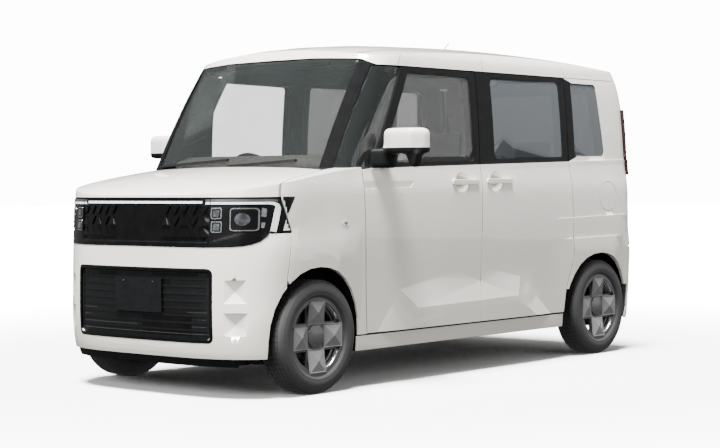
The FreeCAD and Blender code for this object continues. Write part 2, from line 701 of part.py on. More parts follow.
# Sliding doors, fixed shut
slide_skin = lower_piece(side_prism(SLIDING_DOOR_SHARES, HALF_GAP).cut(rear_arch(PANEL_GAP, 0, WIDE)), 0,
                         SKIN)
slide_box = lower_piece(side_prism(SLIDING_DOOR_SHARES, HALF_GAP + FLANGE_LAP).cut(rear_arch(FLANGE_LAP, 0,
                                                                                             WIDE)),
                        SKIN, DOOR_THICKNESS)
slide_frame = upper_piece(side_prism(SLIDING_DOOR_SHARES, HALF_GAP), 0, FRAME_DEPTH)
slide_frame = slide_frame.cut(soft_prism(side_points(SLIDING_DOOR_GLASS_SHARES), GLASS_CORNER, "x",
                                         across(0.5), WIDE))
sliding_door = main_solid(slide_skin.fuse([slide_box, slide_frame]))
rear_ramp = slab((0.8144, 0.3866, 0.9837), (0.8144, 0.1961, 0.9634), (0.8786, 0.3866, 1.0000))
rear_end_ramp = slab((1.7620, 0.3866, 0.9833), (1.7620, 0.1961, 0.9630), (1.4863, 0.3866, 1.0000))
flare_low = prism([(-LENGTH, -HEIGHT), (LENGTH, -HEIGHT), (LENGTH, height(0.3927)),
                   (station(1.8062), height(0.3905)),
                   (station(0.8870), height(0.3866)), (-LENGTH, height(0.3725))], "x", 0, WIDE)
flare_high = prism([(-LENGTH, -HEIGHT), (LENGTH, -HEIGHT), (LENGTH, height(0.4661)),
                    (station(1.7620), height(0.4611)),
                    (station(0.8874), height(0.4538)), (-LENGTH, height(0.4280))], "x", 0, WIDE)
rear_layers = []
for layer, limit in ((flared, flare_low), (lower(-SKIN / 2), flare_high)):
    band = block(across(0.6), WIDE, station(0.7864), station(1.7828), 0, HEIGHT)
    rear_layers.append(main_solid(layer.common(limit).common(band).common(rear_ramp).common(rear_end_ramp)))
slide_outline_cut = side_prism(SLIDING_DOOR_SHARES, HALF_GAP).cut(rear_arch(PANEL_GAP, 0, WIDE))
swellings = [layer.cut(lower(SKIN / 2)) for layer in rear_layers] + [swelling]
sliding_door = sliding_door.fuse([shape.common(slide_outline_cut) for shape in swellings])
sliding_door = with_handle(main_solid(sliding_door), station(0.5932), height(0.5748), across(0.9844))
save("sliding_doors", both_sides(sliding_door))


def pane(shares, corner):
    cutter = soft_prism(inset(side_points(shares), SEAM_FIT), corner, "x", across(0.5), WIDE)
    return main_solid(upper(GLASS_INSET).common(cutter).cut(upper(GLASS_INSET + GLASS_THICKNESS)))


privacy_panes = [pane(SLIDING_DOOR_GLASS_SHARES, GLASS_CORNER), pane(QUARTER_GLASS_SHARES, GLASS_CORNER)]
save("rear_side_glass", Part.makeCompound(privacy_panes + [mirrored(p) for p in privacy_panes]))

# Rear quarter panels with the rear pillars
QUARTER_DEPTH = 40.0
TAIL_LAMP_SHARES = ((1.7204, 0.8134), (1.7568, 0.5938), (2.1625, 0.5938), (2.1625, 0.8134))
quarter_outline = [(station(0.8766), height(0.9098)), (station(0.8749), height(0.6364)),
                   (station(0.8842), height(0.4667)), (station(0.8834), height(0.3221)),
                   (station(0.8593), height(0.2252)), (station(0.8537), height(0.1468)),
                   (station(1.8114), height(0.1468)), (station(1.8296), height(0.3518)),
                   (station(2.1625), height(0.3518)), (station(2.1625), height(0.9098))]
tail_side = [(across(0.8108), height(0.2241)), (across(0.8108), height(0.8403)),
             (across(0.8000), height(0.9132)),
             (WIDE, height(0.9132)), (WIDE, height(0.2241))]
quarter_cut = prism(inset(quarter_outline, HALF_GAP), "x", across(0.5), WIDE)
quarter_cut = quarter_cut.common(prism(tail_side, "y", -LENGTH, LENGTH))
quarter = main_solid(lower(0).common(quarter_cut).common(under_belt(0)))
for layer in rear_layers:
    quarter = main_solid(quarter.fuse(layer.common(quarter_cut)))
quarter = main_solid(quarter.cut(lower(RING_START))).fuse(upper_piece(quarter_cut, 0, QUARTER_DEPTH))
quarter = main_solid(quarter).cut(rear_arch(0, 0, WIDE))
quarter = quarter.cut(soft_prism(side_points(QUARTER_GLASS_SHARES), GLASS_CORNER, "x", across(0.5), WIDE))
tail_lamp_cut = prism(side_points(TAIL_LAMP_SHARES), "x", across(0.5), WIDE)
quarter = quarter.cut(tail_lamp_cut)
# Fuel bowl in the left quarter, with a hinge pin outside the skin, on which the round lid swings clear
LID_PIN_RADIUS = 1.5
LID_PIN_OUTBOARD = 6.5
LID_PIN_BACK = 11.0
LID_PIN_REACH = 26.0
LID_BARREL = 3.5
LID_FACE_OUT = 4.7
LID_LEAF_FOOT = 26.0
BOWL_DEPTH = 48.0
lid_hole = LID_RADIUS + FIXED_GAP
lid_axis_x = across(SIDE_SHARE) + LID_PIN_OUTBOARD
lid_axis_y = lid_y - LID_RADIUS + LID_PIN_BACK
bowl = disc_x(lid_y, lid_z, lid_hole + LID_BOWL_WALL, across(SIDE_SHARE) - BOWL_DEPTH,
              across(SIDE_SHARE) - SKIN * 1.5)
bowl = bowl.cut(disc_x(lid_y, lid_z, lid_hole, across(SIDE_SHARE) - BOWL_DEPTH + LID_BOWL_WALL, WIDE))
lid_pin = Part.makeCylinder(LID_PIN_RADIUS, 2 * LID_PIN_REACH,
                            Vector(lid_axis_x, lid_axis_y, lid_z - LID_PIN_REACH), Vector(0, 0, 1))
lid_leaf = block(across(SIDE_SHARE), lid_axis_x + LID_PIN_RADIUS, lid_axis_y - LID_LEAF_FOOT, lid_axis_y,
                 lid_z - LID_PIN_REACH, lid_z + LID_PIN_REACH)
lid_leaf = lid_leaf.cut(block(0, WIDE, lid_axis_y - LID_LEAF_FOOT / 3, lid_axis_y,
                              lid_z - LID_PIN_REACH / 2 - DOOR_PIN_FIT,
                              lid_z + LID_PIN_REACH / 2 + DOOR_PIN_FIT))
lid_leaf = lid_leaf.cut(disc_x(lid_y, lid_z, lid_hole, 0, across(SIDE_SHARE) + LID_FACE_OUT))
body_frame = main_solid(body_frame.cut(quarter))
save("body_side_frames", both_sides(body_frame))
left_quarter = quarter.cut(disc_x(lid_y, lid_z, lid_hole, across(0.5), WIDE))
left_quarter = main_solid(left_quarter.fuse([bowl, lid_leaf, lid_pin]))
right_quarter = main_solid(mirrored(quarter))
save("rear_quarter_panels", Part.makeCompound([left_quarter, right_quarter]))

tail_cut = tail_lamp_cut.common(prism(tail_side, "y", -LENGTH, LENGTH))
LAMP_PROUD = 12.0
tail_lamp = main_solid(body_piece(tail_cut, -LAMP_PROUD, FRAME_DEPTH).common(
    prism(inset(side_points(TAIL_LAMP_SHARES), SEAM_FIT), "x", 0, WIDE)))
save("tail_lamps", both_sides(tail_lamp))

# Fuel lid on its hinge
fuel_lid = main_solid(lower(0).common(disc_x(lid_y, lid_z, LID_RADIUS, across(0.5),
                                             WIDE)).cut(lower(GLASS_THICKNESS)))
lid_barrel = Part.makeCylinder(LID_BARREL, LID_PIN_REACH, Vector(lid_axis_x, lid_axis_y,
                                                                 lid_z - LID_PIN_REACH / 2), Vector(0, 0, 1))
lid_space = Part.makeCylinder(LID_PIN_RADIUS + DOOR_PIN_FIT, 3 * LID_PIN_REACH,
                              Vector(lid_axis_x, lid_axis_y, lid_z - 1.5 * LID_PIN_REACH),
                              Vector(0, 0, 1))
fuel_lid = main_solid(fuel_lid.fuse(lid_barrel).cut(lid_space))
save("fuel_lid", fuel_lid)

# Front fenders
BONNET_EDGE_SHARES = (
    (-0.0542, 0.0425), (0.4068, 0.0429), (0.7593, 0.0449), (0.8786, 0.0465), (0.9112, -0.0349),
    (0.9302, -0.3065), (0.9600, -0.5005), (1.0305, -0.5005), (1.0305, -1.1212), (-0.0542, -1.1212),
)
bonnet_plan = [(across(x), station(y)) for x, y in BONNET_EDGE_SHARES]
COWL_EDGE_SHARES = (
    (-0.0542, 0.0425), (0.4068, 0.0429), (0.7593, 0.0449), (0.8786, 0.0465), (0.8786, 0.1130),
                    (-0.0542, 0.1130),
)
cowl_plan = [(across(x), station(y)) for x, y in COWL_EDGE_SHARES]
fender_outline = [(station(-0.3686), height(0.4415)), (station(-0.5005), height(0.5462)),
                  (station(-0.5005), height(0.7283)), (station(0.1327), height(0.7283)),
                  (station(0.1327), height(0.6106)), (station(0.1359), height(0.5266)),
                  (station(0.1431), height(0.3137)), (station(0.1503), height(0.1468)),
                  (station(0.0930), height(0.0824)), (station(0.0128), height(0.0824)),
                  (station(-0.4326), height(0.3137))]
fender = lower(0).common(prism(inset(fender_outline, HALF_GAP), "x", across(0.5), WIDE)).cut(lower(SKIN))
fender = fender.cut(prism(inset(bonnet_plan, -HALF_GAP), "z", height(0.5266), HEIGHT))
fender = fender.cut(front_arch(0, 0, WIDE)).cut(prism(inset(sill_outline, -HALF_GAP), "x", 0, WIDE))
fender = fender.cut(upper(0)).cut(prism(cowl_plan, "z", height(0.5266), HEIGHT))
front_ramp = slab((0.1323, 0.4146, 0.9858), (0.1323, 0.1961, 0.9627), (0.0729, 0.4146, 1.0000))
front_flare = flared.common(block(across(0.3), WIDE, -LENGTH, station(0.1347), 0,
                                  HEIGHT)).common(front_ramp).cut(lower(SKIN / 2))
front_flare = main_solid(front_flare)
fender_cut = prism(inset(fender_outline, HALF_GAP), "x", across(0.5), WIDE).cut(front_arch(0, 0, WIDE)).cut(
    prism(inset(sill_outline, -HALF_GAP), "x", 0, WIDE))
fender = main_solid(main_solid(fender).fuse(front_flare.common(fender_cut)))
save("front_fenders", both_sides(fender))

# Bonnet
BONNET_THICKNESS = 12.0
BONNET_LOW_SHARE = 0.5367
bonnet = lower(0).common(prism(inset(bonnet_plan, HALF_GAP), "z", height(BONNET_LOW_SHARE), HEIGHT))
bonnet = whole(main_solid(bonnet.cut(lower(BONNET_THICKNESS))))
BONNET_PIN_RADIUS = 5.0
BONNET_BARREL = 9.0
BONNET_PIN_X = 300.0
BONNET_PIN_AHEAD = 30.0
BONNET_PIN_LOW = 22.0
BONNET_PIN_WIDTH = 20.0
bonnet_axis_y = station(0.0425) - BONNET_PIN_AHEAD
bonnet_axis_z = height(0.6202) - BONNET_PIN_LOW


def rod_x(x0, x1, y, z, radius):
    return Part.makeCylinder(radius, x1 - x0, Vector(x0, y, z), Vector(1, 0, 0))


bonnet_barrels = []
bonnet_spaces = []
cowl_pins = []
for side in (-1, 1):
    x0 = side * BONNET_PIN_X - BONNET_PIN_WIDTH
    bonnet_barrels.append(rod_x(x0, x0 + BONNET_PIN_WIDTH, bonnet_axis_y, bonnet_axis_z, BONNET_BARREL))
    bonnet_barrels.append(block(x0, x0 + BONNET_PIN_WIDTH, bonnet_axis_y - BONNET_BARREL,
                                bonnet_axis_y + BONNET_BARREL,
                                bonnet_axis_z, bonnet_axis_z + BONNET_PIN_LOW - BONNET_BARREL))
    bonnet_spaces.append(rod_x(x0 - SEAM_FIT, x0 + 2 * BONNET_PIN_WIDTH, bonnet_axis_y, bonnet_axis_z,
                               BONNET_PIN_RADIUS + AXLE_FIT))
    cowl_pins.append(rod_x(x0, x0 + 1.5 * BONNET_PIN_WIDTH, bonnet_axis_y, bonnet_axis_z, BONNET_PIN_RADIUS))
    cowl_pins.append(block(x0 + BONNET_PIN_WIDTH + SEAM_FIT, x0 + 1.5 * BONNET_PIN_WIDTH,
                           bonnet_axis_y - BONNET_PIN_RADIUS,
                           bonnet_axis_y, height(0.5714), bonnet_axis_z))
bonnet = main_solid(bonnet.fuse(bonnet_barrels).cut(bonnet_spaces))
save("bonnet", bonnet)
cowl = lower(0).common(prism(inset(cowl_plan, HALF_GAP), "z", height(0.5266),
                             HEIGHT)).cut(lower(SKIN)).cut(upper(0))
cowl_panel = whole(main_solid(cowl))
save("cowl_panel", cowl_panel)

# Headlamps and grille
LAMP_DEPTH = 60.0
LAMP_SPLIT_SHARE = 0.6102
lamp_outline = [(across(LAMP_SPLIT_SHARE), height(0.4095)), (across(0.7593), height(0.4258)),
                (across(0.8678), height(0.4398)), (WIDE, height(0.4415)), (WIDE, height(0.5462)),
                (across(0.8136), height(0.5401)), (across(LAMP_SPLIT_SHARE), height(BONNET_LOW_SHARE))]
lamp_side = [(station(-0.3686), height(0.4415)), (station(-0.5005), height(0.5462)),
             (station(-0.5393), height(0.5658)),
             (-LENGTH, height(0.5658)), (-LENGTH, height(0.3361)), (station(-0.3686), height(0.3361))]
lamp_cut = prism(inset(lamp_outline, HALF_GAP), "y", -LENGTH, station(-0.0349))
lamp_cut = lamp_cut.common(prism(inset(lamp_side, HALF_GAP), "x", 0, WIDE))
lamp_cut = lamp_cut.cut(prism(inset(bonnet_plan, -HALF_GAP), "z", height(BONNET_LOW_SHARE) - PANEL_GAP,
                              HEIGHT))
headlamp = main_solid(lower(0).common(lamp_cut).cut(lower(LAMP_DEPTH)))
save("headlamps", both_sides(headlamp))

GRILLE_DEPTH = 36.0
GRILLE_START = 6.0
grille_edge = across(LAMP_SPLIT_SHARE) + HALF_GAP - SEAM_FIT
grille_outline = [(0, height(0.4078) + SEAM_FIT), (grille_edge, height(0.4078) + SEAM_FIT),
                  (grille_edge, height(BONNET_LOW_SHARE) - PANEL_GAP),
                  (0, height(BONNET_LOW_SHARE) - PANEL_GAP)]
grille_cut = prism(grille_outline, "y", -LENGTH, station(-0.4229))
upper_grille = main_solid(lower(GRILLE_START).common(grille_cut).cut(lower(GRILLE_DEPTH)))
# Rows of raised triangles each side of the middle
TRIANGLE_COLUMNS = 5
TRIANGLE_ROWS = 3
TRIANGLE_WIDTH = 52.0
TRIANGLE_HEIGHT = 42.0
TRIANGLE_START_SHARE = 0.2251
TRIANGLE_PITCH = 57.0
TRIANGLE_LOW_SHARE = 0.4303
TRIANGLE_RISE = 54.0
studs = []
for row in range(TRIANGLE_ROWS):
    for column in range(TRIANGLE_COLUMNS):
        x = across(TRIANGLE_START_SHARE) + column * TRIANGLE_PITCH
        z = height(TRIANGLE_LOW_SHARE) + row * TRIANGLE_RISE
        points_up = row == 0 or (row == 1 and column % 2 == 0)
        tip = z + TRIANGLE_HEIGHT if points_up else z
        foot = z if points_up else z + TRIANGLE_HEIGHT
        studs.append(prism([(x, foot), (x + TRIANGLE_WIDTH, foot), (x + TRIANGLE_WIDTH / 2, tip)], "y",
                           -LENGTH, station(-0.4229)))
grille_face = lower(0).common(grille_cut).cut(lower(GRILLE_START + SEAM_FIT))
studs = [grille_face.common(stud) for stud in studs]
upper_grille = main_solid(upper_grille.fuse(studs))
upper_grille = whole(upper_grille)

# Bumpers
OPENING_CORNER = 45.0
bumper_top = [(0, height(0.4078)), (across(LAMP_SPLIT_SHARE) + HALF_GAP, height(0.4078)),
              (across(0.7593), height(0.4241)),
              (across(0.8678), height(0.4392)), (WIDE, height(0.4415)), (WIDE, height(0.1076)),
              (0, height(0.1076))]
bumper_side = [(station(-0.3686), height(0.4482)), (station(-0.3686), height(0.4415)),
               (station(-0.4326), height(0.3137)), (station(-0.4326), height(0.0560)),
               (-LENGTH, height(0.0560)),
               (-LENGTH, height(0.4482))]
front_bumper = lower(0).common(prism(bumper_top, "y", -LENGTH, 0)).cut(lower(SKIN))
bumper_cut = prism(bumper_top, "y", -LENGTH, 0).common(prism(inset(bumper_side, HALF_GAP), "x", 0, WIDE))
# Four sunk pyramids at the corners of the bumper
PIT_DEPTH = 13.0
PIT_OUT = 9.0
PIT_HALF_HEIGHT = 55.0
PIT_ENDS = ((0.7200, -0.8923), (0.8447, -0.7759))
pit_a, pit_b = (Vector(across(x), station(y), 0) for x, y in PIT_ENDS)
pit_along = (pit_b - pit_a) * 0.5
pit_normal = Vector(-pit_along.y, pit_along.x, 0).normalize() * -1
pit_room = lower(0).common(block(across(0.6847), across(0.8881), station(-0.9661), station(-0.6945),
                                 height(0.1569), height(0.3305)))
front_bumper = main_solid(front_bumper.fuse(pit_room.cut(lower(SKIN * 4))))
front_bumper = front_bumper.common(bumper_cut).cut(front_arch(0, 0, WIDE))
front_bumper = main_solid(front_bumper).fuse(front_flare.common(bumper_cut).cut(front_arch(0, 0, WIDE)))
for pit_z in (height(0.2868), height(0.2000)):
    grow = (PIT_DEPTH + PIT_OUT) / PIT_DEPTH
    middle = (pit_a + pit_b) * 0.5 + Vector(0, 0, pit_z)
    base = middle + pit_normal * PIT_OUT
    rise = Vector(0, 0, PIT_HALF_HEIGHT)
    corners = [base + (pit_along * u + rise * v) * grow for u, v in ((-1, -1), (1, -1), (1, 1), (-1, 1))]
    pit = pyramid(corners, middle - pit_normal * PIT_DEPTH)
    pit = pit.common(block(0, WIDE, -LENGTH, 0, pit_z - PIT_HALF_HEIGHT, pit_z + PIT_HALF_HEIGHT))
    front_bumper = main_solid(front_bumper.cut(pit))
mouth = soft_prism([(-across(0.6346), height(0.1541)), (across(0.6346), height(0.1541)),
                    (across(0.6346), height(0.3445)), (-across(0.6346), height(0.3445))], OPENING_CORNER, "y",
                   -LENGTH, station(-0.2289))
front_bumper = whole(main_solid(front_bumper)).cut(mouth)
MOUTH_SLATS = 9
SLAT_HEIGHT = 9.0
SLAT_DEPTH = 30.0
mouth_back = lower(SKIN).common(soft_prism([(-across(0.6373), height(0.1501)),
                                            (across(0.6373), height(0.1501)),
                                            (across(0.6373), height(0.3485)),
                                            (-across(0.6373), height(0.3485))],
                                           OPENING_CORNER, "y", -LENGTH, station(-0.2289)))
mouth_frame = mouth_back.cut(lower(SKIN + SLAT_DEPTH))
slots = []
for i in range(MOUTH_SLATS):
    z = height(0.1625) + (height(0.3384) - height(0.1625)) * (i + 0.5) / MOUTH_SLATS
    step = (height(0.3384) - height(0.1625)) / MOUTH_SLATS
    slots.append(block(-across(0.5966), across(0.5966), -LENGTH, station(-0.2289),
                       z - (step - SLAT_HEIGHT) / 2,
                       z + (step - SLAT_HEIGHT) / 2))
lower_grille = main_solid(whole(main_solid(mouth_frame)).cut(slots))
DAM_THICKNESS = 12.0
air_dam = lower(SKIN + SEAM_FIT).common(block(0, across(0.7593), -LENGTH, station(-0.6363), height(0.0852),
                                              height(0.1204)))
air_dam = whole(main_solid(air_dam.cut(lower(SKIN + DAM_THICKNESS))))
save("grilles", Part.makeCompound([main_solid(upper_grille), lower_grille, main_solid(air_dam)]))

# Blank plate on the front, on its bracket
PLATE_WIDTH = 330.0
PLATE_THICKNESS = 2.0
PLATE_DEPTH = 14.0
plate_front = -LENGTH / 2
number_plate = block(-PLATE_WIDTH / 2, PLATE_WIDTH / 2, plate_front, plate_front + PLATE_THICKNESS,
                     height(0.2258), height(0.3182))
number_plate = number_plate.fuse(block(-PLATE_WIDTH * 0.35, PLATE_WIDTH * 0.35,
                                       plate_front + PLATE_THICKNESS, plate_front + PLATE_DEPTH,
                                       height(0.2465), height(0.2969)))
number_plate = number_plate.cut(lower_grille).cut(whole(main_solid(front_bumper)))
save("number_plate_front", main_solid(number_plate))

rear_side = [(station(1.7464), height(0.1064)), (station(1.8114), height(0.1468)),
             (station(1.8296), height(0.3518)), (LENGTH, height(0.3518)), (LENGTH, height(0.1064))]
GATE_LOW_SHARE = 0.2723
rear_bumper = lower(0).common(prism(inset(rear_side, HALF_GAP), "x", 0, WIDE)).cut(lower(SKIN))
rear_bumper = rear_bumper.cut(block(-SKIN, across(0.8190), 0, LENGTH, height(GATE_LOW_SHARE), HEIGHT))
rear_bumper = rear_bumper.cut(rear_arch(0, 0, WIDE))
save("bumpers", Part.makeCompound([main_solid(front_bumper), main_solid(whole(main_solid(rear_bumper)))]))

# Roof panel
GATE_HINGE_SHARE = 1.4603
roof_outline = [(station(0.1691), height(0.9098)), (station(GATE_HINGE_SHARE) - HALF_GAP, height(0.9098)),
                (station(GATE_HINGE_SHARE) - HALF_GAP, HEIGHT * 1.1), (station(0.1691), HEIGHT * 1.1)]
roof = upper(0).common(prism(roof_outline, "x", 0, WIDE)).cut(upper(SKIN))
windscreen_top = [(0, height(0.5602)), (across(0.8678), height(0.5602)), (across(0.8678), height(0.9098)),
                  (across(0.7797), height(0.9272)), (across(0.4068), height(0.9345)), (0, height(0.9356))]
roof = roof.cut(prism(windscreen_top, "y", -LENGTH, station(0.2733)))
roof_panel = whole(main_solid(roof))

# Windscreen and front pillars
screen_outline = [(-across(PILLAR_FRONT_SHARES[0][0]), height(0.5994)),
                  (across(PILLAR_FRONT_SHARES[0][0]), height(0.5994)),
                  (across(PILLAR_FRONT_SHARES[1][0]), height(0.9255)), (across(0.4068), height(0.9328)),
                  (-across(0.4068), height(0.9328)), (-across(PILLAR_FRONT_SHARES[1][0]), height(0.9255))]
screen_cut = prism(inset(screen_outline, HALF_GAP), "y", -LENGTH, station(0.2493))
screen_half = upper(GLASS_INSET).common(screen_cut).cut(upper(GLASS_INSET + GLASS_THICKNESS))
save("windscreen", whole(main_solid(screen_half)))
save("front_pillars", both_sides(main_solid(front_pillar.cut(roof_panel))))
quarter_front = pane(FRONT_QUARTER_SHARES, SKIN)
quarter_front = quarter_front.cut(prism([(0, 0), (across(PILLAR_REAR_SHARES[0][0]) + SEAM_FIT, 0),
                                         (across(PILLAR_REAR_SHARES[0][0]) + SEAM_FIT, height(0.5994)),
                                         (across(PILLAR_REAR_SHARES[1][0]) + SEAM_FIT, height(0.9322)),
                                         (0, height(0.9322))],
                                        "y", -LENGTH, 0))
save("front_quarter_glass", both_sides(main_solid(quarter_front)))

# Tailgate
GATE_DEPTH = 60.0
gate_outline = [(0, height(GATE_LOW_SHARE)), (across(0.8027), height(GATE_LOW_SHARE)),
                (across(0.8027), height(0.8403)),
                (across(0.7919), height(0.9098)), (WIDE, height(0.9098)), (WIDE, HEIGHT * 1.1),
                (0, HEIGHT * 1.1)]
gate_cut = prism(gate_outline, "y", station(GATE_HINGE_SHARE) + HALF_GAP, LENGTH)
gate = body_piece(gate_cut, 0, GATE_DEPTH)
GATE_GLASS_SHARES = ((-0.7254, 0.6218), (0.7254, 0.6218), (0.6847, 0.8739), (-0.6847, 0.8739))
gate_glass_outline = [(across(x), height(z)) for x, z in GATE_GLASS_SHARES]
gate = whole(main_solid(gate)).cut(soft_prism(gate_glass_outline, GLASS_CORNER, "y", station(1.3563), LENGTH))
# Hinges of the tailgate stand on the roof's rear edge
GATE_PIN_RADIUS = 3.0
GATE_BARREL = 5.5
GATE_PIN_X = 220.0
GATE_PIN_WIDTH = 24.0
GATE_AXIS_SHARE = 0.9843
gate_axis_y = station(GATE_HINGE_SHARE)
gate_axis_z = height(GATE_AXIS_SHARE)
gate_barrels = []
gate_spaces = []
roof_pins = []
for side in (-1, 1):
    x0 = side * GATE_PIN_X - GATE_PIN_WIDTH
    xm = x0 + GATE_PIN_WIDTH
    gate_barrels.append(rod_x(x0, xm, gate_axis_y, gate_axis_z, GATE_BARREL))
    gate_barrels.append(prism([(gate_axis_y, gate_axis_z), (gate_axis_y + 6 * GATE_BARREL,
                                                            gate_axis_z - 3 * GATE_BARREL),
                               (gate_axis_y + 6 * GATE_BARREL, gate_axis_z - GATE_BARREL),
                               (gate_axis_y, gate_axis_z + GATE_BARREL)],
                              "x", x0, xm))
    gate_spaces.append(rod_x(x0 - SEAM_FIT, xm + GATE_PIN_WIDTH, gate_axis_y, gate_axis_z,
                             GATE_PIN_RADIUS + AXLE_FIT))
    roof_pins.append(rod_x(x0, xm + GATE_PIN_WIDTH, gate_axis_y, gate_axis_z, GATE_PIN_RADIUS))
    roof_pins.append(rod_x(xm + SEAM_FIT, xm + GATE_PIN_WIDTH, gate_axis_y, gate_axis_z, GATE_BARREL))
    roof_pins.append(prism([(gate_axis_y, gate_axis_z + GATE_BARREL),
                            (gate_axis_y - 4 * GATE_BARREL, gate_axis_z - GATE_BARREL),
                            (gate_axis_y - 4 * GATE_BARREL, gate_axis_z - 3 * GATE_BARREL),
                            (gate_axis_y, gate_axis_z - GATE_BARREL)],
                           "x", xm + SEAM_FIT, xm + GATE_PIN_WIDTH))
gate = main_solid(main_solid(gate).fuse(gate_barrels).cut(gate_spaces))
roof_panel = main_solid(roof_panel.fuse(roof_pins))
save("roof_panel", roof_panel)
save("tailgate", gate)
gate_glass_cut = soft_prism(inset(gate_glass_outline, SEAM_FIT), GLASS_CORNER, "y", station(1.3563), LENGTH)
gate_glass = whole(upper(0)).common(gate_glass_cut).cut(whole(upper(GLASS_THICKNESS)))
save("tailgate_glass", main_solid(gate_glass))

# Turned parts: profile points are (place along the axle, radius)


def turned(points, centre):
    corners = [Vector(x, 0, r) for x, r in points]
    face = Part.Face(Part.makePolygon(corners + corners[:1]))
    solid = face.revolve(Vector(0, 0, 0), Vector(1, 0, 0), 360)
    solid.translate(centre)
    return solid


def rod(start, end, radius):
    along = end - start
    return Part.makeCylinder(radius, along.Length, start, along)


HALF_TRACK = TRACK / 2
HALF_RIM = RIM_WIDTH / 2
TYRE_WALL_THICKNESS = 9.0
RIM_WALL = 6.0
RIM_WELL = 20.0
DISC_FACE = 46.0
DISC_THICKNESS = 9.0
HUB_RADIUS = 62.0
HUB_DEPTH = 40.0
HUB_BORE = 24.0
HUB_PLATE = 6.0
SPOKE_HALF = 68.0
FACET_START = 66.0
FACET_END = 156.0
FACET_HALF = 61.0
FACET_RISE = 11.0
SPOKE_SHARE = 0.9


def tyre_solid(centre):
    half = TYRE_WIDTH / 2
    bead = RIM_RADIUS + SEAM_FIT
    crown = TYRE_RADIUS
    near = TYRE_RADIUS - TYRE_WALL * 0.02
    shoulder = TYRE_RADIUS - TYRE_WALL * 0.07
    bulge = RIM_RADIUS + TYRE_WALL * 0.45
    w = TYRE_WALL_THICKNESS
    outer = half * 0.82
    seat = HALF_RIM - RIM_WALL - SEAM_FIT
    lip = RIM_RADIUS + RIM_FLANGE + SEAM_FIT
    outline = [(-seat, bead), (-seat, lip), (-half * 0.93, lip + TYRE_WALL * 0.1), (-half, bulge),
               (-half * 0.98, bulge + TYRE_WALL * 0.2),
               (-outer, shoulder), (-outer * 0.8, near), (-outer * 0.4, crown), (outer * 0.4, crown),
               (outer * 0.8, near),
               (outer, shoulder), (half * 0.98, bulge + TYRE_WALL * 0.2), (half, bulge),
               (half * 0.93, lip + TYRE_WALL * 0.1),
               (seat, lip), (seat, bead), (seat - 2 * w, bead), (half - w, bulge), (outer - w, shoulder - w),
               (w - outer, shoulder - w), (w - half, bulge), (2 * w - seat, bead)]
    return turned(outline, centre)


def rim_solid(centre):
    barrel = turned([
        (-HALF_RIM, RIM_RADIUS + RIM_FLANGE), (-HALF_RIM + RIM_WALL, RIM_RADIUS + RIM_FLANGE),
        (-HALF_RIM + RIM_WALL, RIM_RADIUS), (-HALF_RIM * 0.35, RIM_RADIUS),
                     (-HALF_RIM * 0.2, RIM_RADIUS - RIM_WELL),
        (HALF_RIM * 0.4, RIM_RADIUS - RIM_WELL), (HALF_RIM * 0.55, RIM_RADIUS),
                     (HALF_RIM - RIM_WALL, RIM_RADIUS),
        (HALF_RIM - RIM_WALL, RIM_RADIUS + RIM_FLANGE), (HALF_RIM, RIM_RADIUS + RIM_FLANGE),
        (HALF_RIM, RIM_RADIUS - RIM_WALL), (HALF_RIM * 0.6, RIM_RADIUS - RIM_WALL),
        (HALF_RIM * 0.45, RIM_RADIUS - RIM_WELL - RIM_WALL), (-HALF_RIM * 0.25,
                                                              RIM_RADIUS - RIM_WELL - RIM_WALL),
        (-HALF_RIM * 0.4, RIM_RADIUS - RIM_WALL), (-HALF_RIM, RIM_RADIUS - RIM_WALL)], Vector(0, 0, 0))
    disc = Part.makeCylinder(RIM_RADIUS - SEAM_FIT, DISC_THICKNESS, Vector(DISC_FACE - DISC_THICKNESS, 0, 0),
                             Vector(1, 0, 0))
    inner = RIM_RADIUS * 0.36
    outer = RIM_RADIUS * SPOKE_SHARE
    window_ring = Part.makeCylinder(outer, TYRE_WIDTH, Vector(0, 0, 0), Vector(1, 0, 0)).cut(
        Part.makeCylinder(inner, TYRE_WIDTH, Vector(0, 0, 0), Vector(1, 0, 0)))
    reach = RIM_RADIUS * 2
    cross = block(0, TYRE_WIDTH, -SPOKE_HALF, SPOKE_HALF, -reach, reach).fuse(
        block(0, TYRE_WIDTH, -reach, reach, -SPOKE_HALF, SPOKE_HALF))
    disc = disc.cut(window_ring.cut(cross))
    hub = Part.makeCylinder(HUB_RADIUS, HUB_DEPTH, Vector(DISC_FACE - HUB_DEPTH, 0, 0), Vector(1, 0, 0))
    bore = Part.makeCylinder(HUB_BORE, HUB_DEPTH - DISC_THICKNESS, Vector(DISC_FACE - HUB_DEPTH, 0, 0),
                             Vector(1, 0, 0))
    facets = [Part.makeCylinder(HUB_RADIUS * 0.8, HUB_PLATE, Vector(DISC_FACE, 0, 0), Vector(1, 0, 0))]
    for y, z in ((1, 0), (0, 1), (-1, 0), (0, -1)):
        ahead = Vector(0, y, z)
        aside = Vector(0, -z, y)
        foot = Vector(DISC_FACE - SEAM_FIT, 0, 0)
        corners = [foot + ahead * a + aside * b for a, b in ((FACET_START, -FACET_HALF),
                                                             (FACET_END, -FACET_HALF),
                                                             (FACET_END, FACET_HALF),
                                                             (FACET_START, FACET_HALF))]
        facets.append(pyramid(corners, foot + ahead * (FACET_START + FACET_END) / 2 + Vector(FACET_RISE, 0,
                                                                                             0)))
    solid = barrel.fuse([disc, hub] + facets).cut(bore)
    solid.translate(centre)
    return solid


def wheel_pair(axle_y, names):
    left = Vector(HALF_TRACK, axle_y, AXLE_Z)
    for name, shape in ((names[0], rim_solid(left)), (names[1], tyre_solid(left))):
        save(name + "_left", main_solid(shape))
        save(name + "_right", main_solid(mirrored(shape)))


wheel_pair(FRONT_AXLE_Y, ("front_rim", "front_tyre"))
wheel_pair(REAR_AXLE_Y, ("rear_rim", "rear_tyre"))

